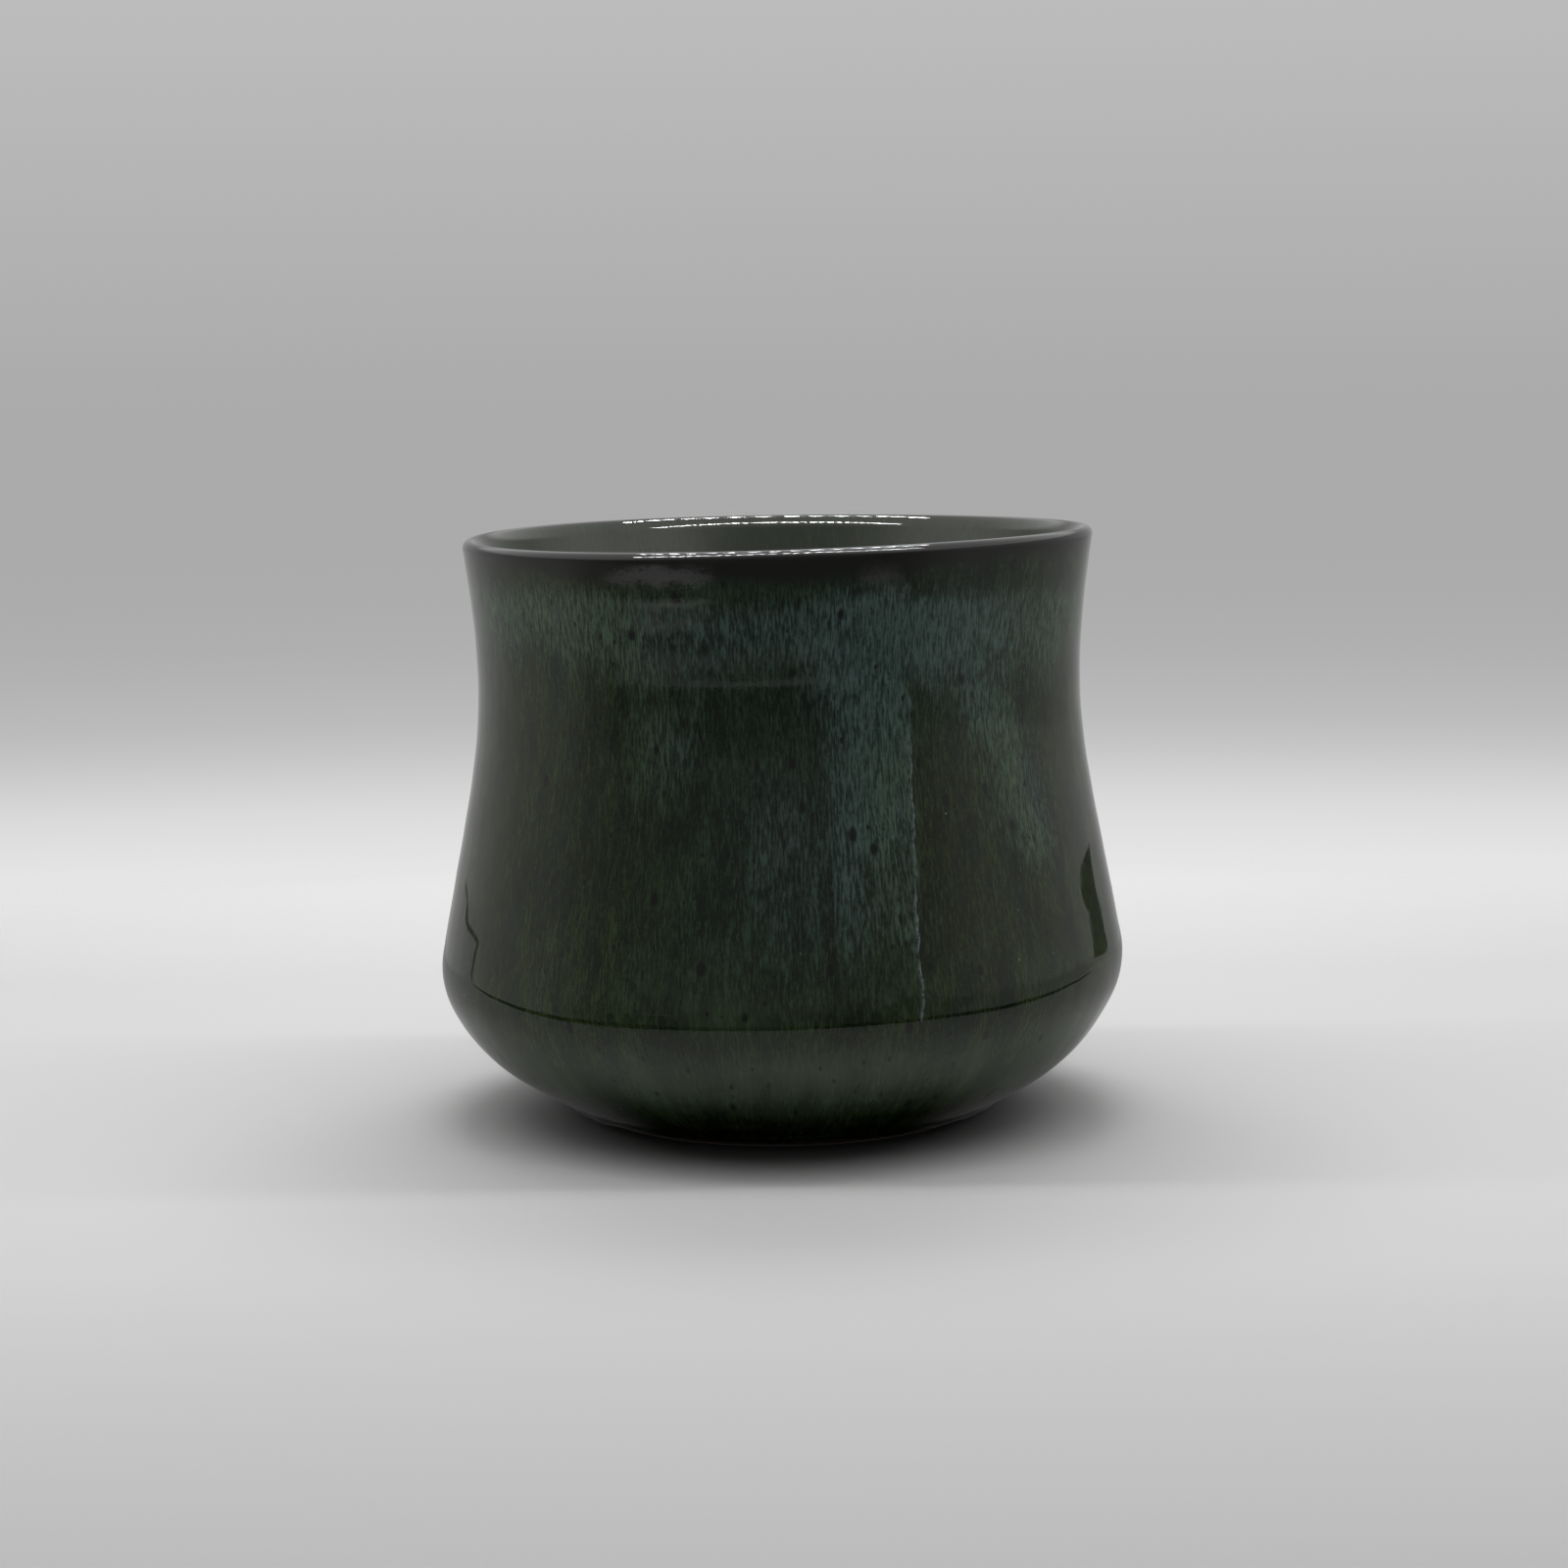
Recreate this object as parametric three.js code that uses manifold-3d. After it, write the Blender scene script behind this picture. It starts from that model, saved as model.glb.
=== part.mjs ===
// Cup without a handle, thrown in stoneware, trimmed to a low foot ring and glazed inside and out.
// Millimetres, +Z up. The origin is the middle of the foot ring, on the table, and the front faces -Y.
// The clay is one solid. The glaze lies on it as fused coats, each a solid of its own: one outside, one
// inside, a thin band over the lip, and a doubled strip where two pours of glaze overlap on the front.

import * as THREE from 'three';
import { mergeVertices } from 'three/addons/utils/BufferGeometryUtils.js';
import Module from 'manifold-3d';

// Foot ring, turned from the clay
const FOOT_RADIUS = 26.9;
const FOOT_RING_WIDTH = 6.2;
const FOOT_HEIGHT = 0.7;
const FOOT_ROUNDING = 0.4;
const FOOT_ROUNDING_MOST = 0.8;
const RECESS_DEPTH = 2.0;
const RECESS_FILLET = 1.2;

// Outside of the glazed cup: bowl, belly, waist and flared rim
const BOWL_ANGLE = 27.4;
const BOWL_EASE = 0.39;
const BELLY_RADIUS = 48.0;
const BELLY_HEIGHT = 21.5;
const BELLY_BEND = 11.8;
const BELLY_LOWER_TURN = 27.0;
const BELLY_UPPER_TURN = 10.4;
const WAIST_RADIUS = 42.1;
const WAIST_ABOVE_BELLY = 39.2;
const WALL_EASE_LOW = 0.485;
const WALL_EASE_HIGH = 0.28;
const RIM_RADIUS = 43.85;
const RIM_ABOVE_WAIST = 19.3;
const RIM_ANGLE = 8.0;
const FLARE_EASE_LOW = 0.34;
const FLARE_EASE_HIGH = 0.27;

// Whole wall and floor, glaze included
const RIM_THICKNESS = 3.4;
const WAIST_THICKNESS = 3.6;
const BELLY_THICKNESS = 5.4;
const FLOOR_THICKNESS = 5.0;
const FLOOR_EASE_MIDDLE = 0.59;
const FLOOR_EASE_SIDE = 0.27;
const INNER_RIM_ANGLE = 18.0;
const LIP_OUTER_ROUND = 1.1;
const LIP_INNER_ROUND = 3.2;
const LIP_OUTER_MOST = 0.45;
const LIP_INNER_LEAST = 0.55;

// Glaze coats, and the hairline left between two solids that are fused on the real cup
const OUTER_COAT = 0.6;
const LINER_COAT = 0.5;
const LIP_COAT = 0.35;
const LIP_BAND = 4.6;
const BARE_BAND = 2.2;
const BEAD_LENGTH = 2.8;
const BEAD_BULGE = 0.35;
const BOND = 0.05;

// Overlap of two pours, on the front of the wall to the right of the middle
const OVERLAP_AZIMUTH = 16.6;
const OVERLAP_WIDTH = 10.4;
const OVERLAP_ABOVE_WAIST = 4.0;
const OVERLAP_ABOVE_BELLY = 1.0;
const OVERLAP_COAT = 0.3;
const RIDGE_COAT = 0.55;
const RIDGE_WIDTH = 0.9;

// The rim left the wheel out of level: it stands this much higher on the +X side
const RIM_RISE = 0.5;
const RISE_STARTS = 3.0;
const RISE_FULL = 18.0;

// Fineness of the solids: steps along each stretch of the profile and facets round the axis
const FACETS = 48;
const STEPS = {
  line: 1, round: 2, bead: 3, bowl: 4, belly: 5, wall: 5, flare: 2, lipOutside: 4, lipInside: 3, floor: 5,
};
const INNER_STEPS = { belly: 3, wall: 4 };
const OUTLINE_STEPS = 6;

// Colour and roughness of each piece
const CLAY = { color: 0x4b3d33, roughness: 0.85 };
const GREEN_GLAZE = { color: 0x1a2419, roughness: 0.12 };
const INNER_GLAZE = { color: 0x343a30, roughness: 0.12 };
const THIN_GLAZE = { color: 0x191916, roughness: 0.14 };
const DOUBLED_GLAZE = { color: 0x293836, roughness: 0.16 };

const wasm = await Module();
wasm.setup();

// Directions and levels in the profile plane, where x is the radius and y the height
const UP = new THREE.Vector2(0, 1);
const radians = THREE.MathUtils.degToRad;
const heading = (degrees) => new THREE.Vector2(1, 0).rotateAround(new THREE.Vector2(), radians(degrees));
const along = (point, direction, distance) => point.clone().addScaledVector(direction, distance);
const bellyCentre = new THREE.Vector2(BELLY_RADIUS - BELLY_BEND, BELLY_HEIGHT);
const waistHeight = BELLY_HEIGHT + WAIST_ABOVE_BELLY;
const rimHeight = waistHeight + RIM_ABOVE_WAIST;
const floorHeight = RECESS_DEPTH + FLOOR_THICKNESS;

// One face of the wall: the ends of its belly arc, and the curves above it up to the flared lip band
function wallFace(bend, waistRadius, bandStart, flareAngle) {
  const low = along(bellyCentre, heading(-BELLY_LOWER_TURN), bend);
  const high = along(bellyCentre, heading(BELLY_UPPER_TURN), bend);
  const waist = new THREE.Vector2(waistRadius, waistHeight);
  const wallSpan = high.distanceTo(waist);
  const flareSpan = waist.distanceTo(bandStart);
  const belly = new THREE.EllipseCurve(
    bellyCentre.x, bellyCentre.y, bend, bend,
    radians(-BELLY_LOWER_TURN), radians(BELLY_UPPER_TURN),
  );
  const wall = new THREE.CubicBezierCurve(
    high, along(high, heading(90 + BELLY_UPPER_TURN), WALL_EASE_LOW * wallSpan),
    along(waist, UP, -WALL_EASE_HIGH * wallSpan), waist,
  );
  const flare = new THREE.CubicBezierCurve(
    waist, along(waist, UP, FLARE_EASE_LOW * flareSpan),
    along(bandStart, heading(90 - flareAngle), -FLARE_EASE_HIGH * flareSpan), bandStart,
  );
  return { low, belly, wall, flare };
}

// Points along a chain of stretches, with the normal that leaves the clay and the coat's thickness.
// The facing is 1 on the outside, traced upwards, and -1 on the inside, traced upwards too.
function trace(stretches, facing) {
  const samples = [];
  for (const { curve, steps, coat, bulge = 0 } of stretches) {
    for (let i = samples.length ? 1 : 0; i <= steps; i++) {
      const share = i / steps;
      const point = curve.getPoint(share);
      const tangent = curve.getTangent(share);
      const normal = new THREE.Vector2(tangent.y, -tangent.x).multiplyScalar(facing);
      if (point.x === 0) normal.copy(UP);
      const thickness = THREE.MathUtils.lerp(coat[0], coat[1], share);
      samples.push({ point, normal, tangent, coat: thickness, bulge: bulge * Math.sin(Math.PI * share) });
    }
  }
  return samples;
}

const glazed = ({ point, normal, bulge }) => along(point, normal, bulge);
const coatBack = ({ point, normal, coat }) => along(point, normal, -coat);
const clayFace = ({ point, normal, coat }) => along(point, normal, -coat - BOND);
const upsideDown = (samples) => [...samples].reverse();

// Outside: the bowl's bare band and the bead of glaze leave the foot at one slope
const bowlOut = heading(BOWL_ANGLE - 90);
const bowlUp = heading(BOWL_ANGLE);
const bowlStart = along(new THREE.Vector2(FOOT_RADIUS, FOOT_HEIGHT), bowlOut, OUTER_COAT + BOND);
const glazeLine = along(bowlStart, bowlUp, BARE_BAND);
const beadEnd = along(glazeLine, bowlUp, BEAD_LENGTH);
const rimUp = heading(90 - RIM_ANGLE);
const rimOut = heading(-RIM_ANGLE);
const rimEdge = new THREE.Vector2(RIM_RADIUS, rimHeight);
const bandOutside = along(rimEdge, rimUp, -LIP_BAND);
const outerFace = wallFace(BELLY_BEND, WAIST_RADIUS, bandOutside, RIM_ANGLE);
const bowlSpan = beadEnd.distanceTo(outerFace.low);
const bowl = new THREE.CubicBezierCurve(
  beadEnd, along(beadEnd, bowlUp, BOWL_EASE * bowlSpan),
  along(outerFace.low, heading(90 - BELLY_LOWER_TURN), -BOWL_EASE * bowlSpan), outerFace.low,
);
const fullCoat = [OUTER_COAT, OUTER_COAT];
const bare = { curve: new THREE.LineCurve(bowlStart, glazeLine), steps: STEPS.line, coat: fullCoat };
const wallStretches = [
  { curve: outerFace.belly, steps: STEPS.belly, coat: fullCoat },
  { curve: outerFace.wall, steps: STEPS.wall, coat: fullCoat },
  { curve: outerFace.flare, steps: STEPS.flare, coat: [OUTER_COAT, LIP_COAT] },
];
const glazedStretches = [
  { curve: new THREE.LineCurve(glazeLine, beadEnd), steps: STEPS.bead, coat: fullCoat, bulge: BEAD_BULGE },
  { curve: bowl, steps: STEPS.bowl, coat: fullCoat },
  ...wallStretches,
];

// Inside: the floor dishes up into the belly, and the wall thins towards the lip, where it flares wider
const innerUp = heading(90 - INNER_RIM_ANGLE);
const innerOut = heading(180 - INNER_RIM_ANGLE);
const bandInside = along(bandOutside, rimOut, -RIM_THICKNESS);
const innerWaist = WAIST_RADIUS - WAIST_THICKNESS;
const innerFace = wallFace(BELLY_BEND - BELLY_THICKNESS, innerWaist, bandInside, INNER_RIM_ANGLE);
const floorMiddle = new THREE.Vector2(0, floorHeight);
const floorSpan = floorMiddle.distanceTo(innerFace.low);
const floor = new THREE.CubicBezierCurve(
  floorMiddle, new THREE.Vector2(FLOOR_EASE_MIDDLE * floorSpan, floorHeight),
  along(innerFace.low, heading(90 - BELLY_LOWER_TURN), -FLOOR_EASE_SIDE * floorSpan), innerFace.low,
);
const linerCoat = [LINER_COAT, LINER_COAT];
const insideStretches = [
  { curve: floor, steps: STEPS.floor, coat: linerCoat },
  { curve: innerFace.belly, steps: INNER_STEPS.belly, coat: linerCoat },
  { curve: innerFace.wall, steps: INNER_STEPS.wall, coat: linerCoat },
  { curve: innerFace.flare, steps: STEPS.flare, coat: [LINER_COAT, LIP_COAT] },
];

// Lip: a straight band up each face, a tight round outside and a wider one inside, which meet at the crest.
// It starts a gap above the other coats.
function lipStretches(gap) {
  const taper = radians(INNER_RIM_ANGLE - RIM_ANGLE);
  const rimWall = RIM_THICKNESS - LIP_BAND * Math.tan(taper);
  const outerRound = Math.min(LIP_OUTER_ROUND, LIP_OUTER_MOST * rimWall);
  const innerRound = Math.max(LIP_INNER_ROUND, LIP_INNER_LEAST * rimWall);
  const innerReach = (rimWall - outerRound) * Math.cos(taper);
  const first = radians(-RIM_ANGLE);
  const last = radians(180 - INNER_RIM_ANGLE);
  const crest = last - Math.acos((innerRound - innerReach) / (innerRound - outerRound));
  const outerCentre = along(rimEdge, rimOut, -outerRound);
  const innerCentre = along(outerCentre, heading(THREE.MathUtils.radToDeg(crest)), outerRound - innerRound);
  const innerEnd = along(innerCentre, innerOut, innerRound);
  const rise = new THREE.LineCurve(along(bandOutside, rimUp, gap), rimEdge);
  const over = new THREE.EllipseCurve(outerCentre.x, outerCentre.y, outerRound, outerRound, first, crest);
  const down = new THREE.EllipseCurve(innerCentre.x, innerCentre.y, innerRound, innerRound, crest, last);
  const fall = new THREE.LineCurve(innerEnd, along(bandInside, innerUp, gap));
  const coat = [LIP_COAT, LIP_COAT];
  return [
    { curve: rise, steps: STEPS.line, coat },
    { curve: over, steps: STEPS.lipOutside, coat },
    { curve: down, steps: STEPS.lipInside, coat },
    { curve: fall, steps: STEPS.line, coat },
  ];
}

// A quarter round between two directions, from the first to the second
function corner(centre, radius, from, to) {
  const { x, y } = centre;
  const round = new THREE.EllipseCurve(x, y, radius, radius, radians(from), radians(to), to < from);
  return round.getPoints(STEPS.round);
}

// A profile swept round the axis, from radius and height to the part's own frame
function revolve(profile) {
  return new THREE.LatheGeometry(profile, FACETS).rotateX(Math.PI / 2);
}

// The lift of the unlevel rim, which fades out above the foot so that the cup stands flat
function lift(geometry) {
  const position = geometry.getAttribute('position');
  for (let i = 0; i < position.count; i++) {
    const height = position.getZ(i);
    const share = THREE.MathUtils.smoothstep(height, RISE_STARTS, RISE_FULL);
    position.setZ(i, height + (RIM_RISE / RIM_RADIUS) * share * position.getX(i));
  }
  geometry.computeVertexNormals();
  return geometry;
}

function toSolid(geometry) {
  const merged = mergeVertices(geometry.deleteAttribute('normal').deleteAttribute('uv'));
  const vertProperties = merged.getAttribute('position').array;
  const triVerts = new Uint32Array(merged.index.array);
  return new wasm.Manifold(new wasm.Mesh({ numProp: 3, vertProperties, triVerts }));
}

function toGeometry(solid) {
  const { vertProperties, triVerts } = solid.getMesh();
  const geometry = new THREE.BufferGeometry();
  geometry.setAttribute('position', new THREE.BufferAttribute(vertProperties, 3));
  return geometry.setIndex(new THREE.BufferAttribute(triVerts, 1));
}

// Clay: recessed base, foot ring, wall, lip and floor in one profile that starts and ends on the axis
function stonewareBody() {
  const ringInside = FOOT_RADIUS - FOOT_RING_WIDTH;
  const rounding = Math.min(FOOT_ROUNDING, FOOT_ROUNDING_MOST * FOOT_HEIGHT);
  const fillet = Math.min(RECESS_FILLET, RECESS_DEPTH - rounding);
  const filletCentre = new THREE.Vector2(ringInside - fillet, RECESS_DEPTH - fillet);
  const innerRound = new THREE.Vector2(ringInside + rounding, rounding);
  const outerRound = new THREE.Vector2(FOOT_RADIUS - rounding, rounding);
  return revolve([
    new THREE.Vector2(0, RECESS_DEPTH),
    ...corner(filletCentre, fillet, 90, 0),
    ...corner(innerRound, rounding, 180, 270),
    ...corner(outerRound, rounding, 270, 360),
    ...trace([bare, ...glazedStretches], 1).map(clayFace),
    ...trace(lipStretches(0), 1).map(clayFace).slice(1, -1),
    ...upsideDown(trace(insideStretches, -1)).map(clayFace),
  ]);
}

// Outside coat: a round nose above the bare band, the bead, then an even skin up to the lip band
function outerGlaze() {
  const samples = trace(glazedStretches, 1);
  const { point, normal, tangent, coat } = samples[0];
  const noseCentre = along(point, normal, -coat / 2);
  const noseOut = tangent.clone().negate();
  const nose = [];
  for (let i = 1; i <= STEPS.round; i++) {
    const turn = (Math.PI * i) / (STEPS.round + 1);
    const inward = along(noseCentre, normal, -Math.cos(turn) * coat / 2);
    nose.push(along(inward, noseOut, Math.sin(turn) * coat / 2));
  }
  const back = samples.map(coatBack);
  return revolve([back[0], ...nose, ...samples.map(glazed), ...upsideDown(back)]);
}

// Inside coat: a bowl-shaped skin whose two faces both end on the axis
function linerGlaze() {
  const samples = trace(insideStretches, -1);
  return revolve([...samples.map(coatBack), ...upsideDown(samples.map(glazed))]);
}

// Lip coat: a thin saddle over the rim, down to the two coats it meets
function lipGlaze() {
  const samples = trace(lipStretches(BOND), 1);
  const face = samples.map(glazed);
  return revolve([...face, ...upsideDown(samples.map(coatBack)), face[0]]);
}

// A closed sleeve of even thickness over the outside of the wall
function sleeve(thickness) {
  const samples = trace(wallStretches, 1);
  const face = samples.map(({ point, normal }) => along(point, normal, BOND + thickness));
  const back = samples.map(({ point, normal }) => along(point, normal, BOND));
  return toSolid(revolve([...face, ...upsideDown(back), face[0]]));
}

// A front-view outline swept out from the axis, turned to the overlap's place on the wall
function cutter(outline) {
  const reach = 2 * BELLY_RADIUS;
  const settings = { depth: reach, bevelEnabled: false, curveSegments: OUTLINE_STEPS };
  const prism = new THREE.ExtrudeGeometry(outline, settings).rotateX(Math.PI / 2);
  return toSolid(prism.rotateZ(radians(OVERLAP_AZIMUTH)));
}

// Doubled strip: a tongue with a round tip cut from a thin sleeve, and the ridge along its right edge
function pourOverlap() {
  const half = OVERLAP_WIDTH / 2;
  const top = waistHeight + OVERLAP_ABOVE_WAIST;
  const tip = BELLY_HEIGHT + OVERLAP_ABOVE_BELLY;
  const tongue = new THREE.Shape();
  tongue.moveTo(half, top);
  tongue.bezierCurveTo(half / 2, top + half, -half / 2, top + half, -half, top);
  tongue.lineTo(-half, tip + OVERLAP_WIDTH);
  tongue.quadraticCurveTo(-half, tip + half, half - RIDGE_WIDTH, tip);
  tongue.lineTo(half, tip);
  const ridge = new THREE.Shape();
  ridge.moveTo(half, waistHeight);
  ridge.quadraticCurveTo(half - RIDGE_WIDTH, waistHeight, half - RIDGE_WIDTH, waistHeight - OVERLAP_WIDTH);
  ridge.lineTo(half - RIDGE_WIDTH, tip);
  ridge.lineTo(half, tip);
  const strip = sleeve(OVERLAP_COAT).intersect(cutter(tongue));
  return toGeometry(strip.add(sleeve(RIDGE_COAT).intersect(cutter(ridge))));
}

function piece(name, geometry, finish) {
  const mesh = new THREE.Mesh(lift(geometry), new THREE.MeshStandardMaterial({ ...finish, metalness: 0 }));
  mesh.name = name;
  return mesh;
}

const cup = new THREE.Group();
cup.add(
  piece('stoneware_body', stonewareBody(), CLAY),
  piece('outer_glaze', outerGlaze(), GREEN_GLAZE),
  piece('liner_glaze', linerGlaze(), INNER_GLAZE),
  piece('lip_glaze', lipGlaze(), THIN_GLAZE),
  piece('pour_overlap', pourOverlap(), DOUBLED_GLAZE),
);

export default cup;
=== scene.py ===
"""Looks of a thrown stoneware cup: fine meshes for its clay and glaze coats, and a plain pale studio.

Sizes of the cup are in millimetres, as in the part's source, and become metres as each mesh is made.
An azimuth runs round the axis in degrees, from the front of the cup (-Y) towards its right (+X).
"""

import math

import bpy
import numpy as np
from mathutils import Matrix


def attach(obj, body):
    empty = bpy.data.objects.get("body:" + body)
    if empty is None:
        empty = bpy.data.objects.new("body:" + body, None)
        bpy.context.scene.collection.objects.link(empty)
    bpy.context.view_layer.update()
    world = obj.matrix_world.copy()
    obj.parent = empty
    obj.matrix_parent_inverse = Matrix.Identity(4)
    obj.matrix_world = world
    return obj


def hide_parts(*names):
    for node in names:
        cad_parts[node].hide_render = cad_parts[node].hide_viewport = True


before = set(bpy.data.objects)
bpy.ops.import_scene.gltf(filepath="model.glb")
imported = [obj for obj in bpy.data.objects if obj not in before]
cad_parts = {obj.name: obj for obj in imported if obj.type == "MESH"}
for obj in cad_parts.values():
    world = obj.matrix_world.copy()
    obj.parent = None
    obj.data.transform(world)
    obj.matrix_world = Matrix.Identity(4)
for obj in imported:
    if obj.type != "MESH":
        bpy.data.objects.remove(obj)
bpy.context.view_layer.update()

MM = 0.001

# Foot ring, turned from the clay
FOOT_RADIUS = 26.9
FOOT_RING_WIDTH = 6.2
FOOT_HEIGHT = 0.7
FOOT_ROUNDING = 0.4
RECESS_DEPTH = 2.0
RECESS_FILLET = 1.2

# Outside of the glazed cup: bowl, belly, waist and flared rim
BOWL_ANGLE = 27.4
BOWL_EASE = 0.39
BELLY_RADIUS = 48.0
BELLY_HEIGHT = 21.5
BELLY_BEND = 11.8
BELLY_LOWER_TURN = 27.0
BELLY_UPPER_TURN = 10.4
WAIST_RADIUS = 42.1
WAIST_HEIGHT = 60.7
WALL_EASE_LOW = 0.485
WALL_EASE_HIGH = 0.28
RIM_RADIUS = 43.85
RIM_HEIGHT = 80.0
RIM_ANGLE = 8.0
FLARE_EASE_LOW = 0.34
FLARE_EASE_HIGH = 0.27

# Whole wall and floor, glaze included
RIM_THICKNESS = 3.4
WAIST_THICKNESS = 3.6
BELLY_THICKNESS = 5.4
FLOOR_HEIGHT = 7.0
FLOOR_EASE_MIDDLE = 0.59
FLOOR_EASE_SIDE = 0.27
INNER_RIM_ANGLE = 18.0
LIP_OUTER_ROUND = 1.1
LIP_INNER_ROUND = 3.2

# Glaze coats, and the hairline between a coat and the clay
OUTER_COAT = 0.6
LINER_COAT = 0.5
LIP_COAT = 0.35
LIP_BAND = 4.6
LIP_TURN_IN = (-0.5, 2.0)
BARE_BAND = 2.2
BEAD_LENGTH = 2.8
BEAD_BULGE = 0.35
BOND = 0.05

# The rim left the wheel out of level, and the cup a little out of round
RIM_RISE = 0.5
RIM_DIP = 0.2
RISE_STARTS = 3.0
RISE_FULL = 18.0
OVAL = 0.12
OVAL_TURN = 40.0
THREE_SIDED = 0.06
THREE_SIDED_TURN = 15.0

# Relief of the surfaces: rings, runs, wavering edges and turning marks
OUTER_RING_RELIEF = 0.012
OUTER_RING_PITCH = 7.5
INNER_RING_RELIEF = 0.10
INNER_RING_PITCH = 6.5
INNER_RINGS_START = (3.0, 14.0)
INNER_RINGS_FADE = 9.0
RUN_RELIEF = 0.02
RELIEF_FADE = 4.0
EDGE_WAVER = 0.45
BEAD_WAVER = 0.35
TRIM_RELIEF = 0.05
TRIM_PITCH = 1.3
TRIM_STARTS = 3.0
TRIM_LEVEL = 0.9

# Overlap of two pours, on the front to the right of the middle
OVERLAP_TOP = 66.0
OVERLAP_TIP = 19.0
OVERLAP_TAPER = 12.0
OVERLAP_COAT = 0.22
OVERLAP_SINK = 0.06
OVERLAP_BACK = 0.2
RIDGE_COAT = 0.18
RIDGE_HALF_WIDTH = 0.32
RIDGE_RISE = (OVERLAP_TIP, OVERLAP_TIP + 2.0)
RIDGE_FALL = (54.0, 59.0)
OVERLAP_RISE = (OVERLAP_TIP, OVERLAP_TIP + 6.0)
OVERLAP_FALL = (OVERLAP_TOP - 9.0, OVERLAP_TOP)
OVERLAP_SLOPE = 0.6
OVERLAP_CROWDING = 1.6

# Fineness of the meshes
COLUMNS = 288
BEAD_ROWS = 14
OUTSIDE_ROWS = 150
BACK_ROWS = 36
NOSE_ROWS = 8
LIP_ROWS = 84
INSIDE_ROWS = 130
RECESS_ROWS = 90
CORNER_ROWS = 8
CURVE_STEPS = 160
OVERLAP_COLUMNS = 110
OVERLAP_ROWS = 260
SHARP_ANGLE = 50.0


def heading(degrees):
    """Unit direction in the profile plane, where x is the radius and y the height."""
    angle = math.radians(degrees)
    return np.array([math.cos(angle), math.sin(angle)])


def smooth(value, low, high):
    """Eased share, from 0 at low to 1 at high."""
    share = np.clip((value - low) / (high - low), 0.0, 1.0)
    return share * share * (3.0 - 2.0 * share)


def faded(value, foot, top):
    """1 between a foot and a top, easing to 0 over the two limits of each."""
    return smooth(value, *foot) * (1.0 - smooth(value, *top))


def hump(value, middle, half_width):
    """A bell that is 1 at the middle and falls away over the half width."""
    return np.exp(-(((value - middle) / half_width) ** 2))


def ripple(azimuth, *waves):
    """An uneven line that closes round the cup: the mean of waves, each a count and a turn."""
    lines = [np.sin(np.radians(count * azimuth + turn)) for count, turn in waves]
    return sum(lines) / len(lines)


def line(start, end, steps=CURVE_STEPS):
    return start + np.linspace(0.0, 1.0, steps + 1)[:, None] * (end - start)


def arc(centre, radius, first, last, steps=CURVE_STEPS):
    angles = np.radians(np.linspace(first, last, steps + 1))
    return centre + radius * np.stack([np.cos(angles), np.sin(angles)], axis=1)


def sweep(start, leaving, start_ease, end, arriving, end_ease):
    """A cubic curve between two points along two headings, each pull a share of the span."""
    span = np.linalg.norm(end - start)
    near = start + start_ease * span * heading(leaving)
    far = end - end_ease * span * heading(arriving)
    t = np.linspace(0.0, 1.0, CURVE_STEPS + 1)[:, None]
    s = 1.0 - t
    return s**3 * start + 3.0 * s**2 * t * near + 3.0 * s * t**2 * far + t**3 * end


def chain(*stretches):
    """Stretches end to end as one row of points, each joint kept once."""
    return np.concatenate([stretches[0]] + [stretch[1:] for stretch in stretches[1:]])


class Track:
    """A run along the finished surface, by the length travelled, with its normal out of the clay."""

    def __init__(self, points, facing):
        steps = np.linalg.norm(np.diff(points, axis=0), axis=1)
        self.points = points
        self.run = np.concatenate([[0.0], np.cumsum(steps)])
        self.end = self.run[-1]
        tangent = np.gradient(points, self.run, axis=0)
        tangent /= np.linalg.norm(tangent, axis=1, keepdims=True)
        self.normal = facing * np.stack([tangent[:, 1], -tangent[:, 0]], axis=1)

    def run_at(self, height):
        return np.interp(height, self.points[:, 1], self.run)

    def off(self, run, distance):
        """Radius and height of points that lie off the surface by a distance."""
        return [
            np.interp(run, self.run, self.points[:, axis])
            + distance * np.interp(run, self.run, self.normal[:, axis])
            for axis in range(2)
        ]


# Profile of the finished cup
belly_centre = np.array([BELLY_RADIUS - BELLY_BEND, BELLY_HEIGHT])
rim_up = heading(90.0 - RIM_ANGLE)
rim_out = heading(-RIM_ANGLE)
rim_edge = np.array([RIM_RADIUS, RIM_HEIGHT])
band_outside = rim_edge - LIP_BAND * rim_up
band_inside = band_outside - RIM_THICKNESS * rim_out
foot_edge = np.array([FOOT_RADIUS, FOOT_HEIGHT])
bowl_start = foot_edge + (OUTER_COAT + BOND) * heading(BOWL_ANGLE - 90.0)
bead_end = bowl_start + (BARE_BAND + BEAD_LENGTH) * heading(BOWL_ANGLE)
bowl_heading = 90.0 - BELLY_LOWER_TURN


def wall_face(bend, waist_radius, band_start, flare_angle):
    """One face of the wall: the belly arc and the curves above it, up to the flared lip band."""
    belly = arc(belly_centre, bend, -BELLY_LOWER_TURN, BELLY_UPPER_TURN)
    waist = np.array([waist_radius, WAIST_HEIGHT])
    wall = sweep(belly[-1], 90.0 + BELLY_UPPER_TURN, WALL_EASE_LOW, waist, 90.0, WALL_EASE_HIGH)
    flare = sweep(waist, 90.0, FLARE_EASE_LOW, band_start, 90.0 - flare_angle, FLARE_EASE_HIGH)
    return chain(belly, wall, flare)


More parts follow.
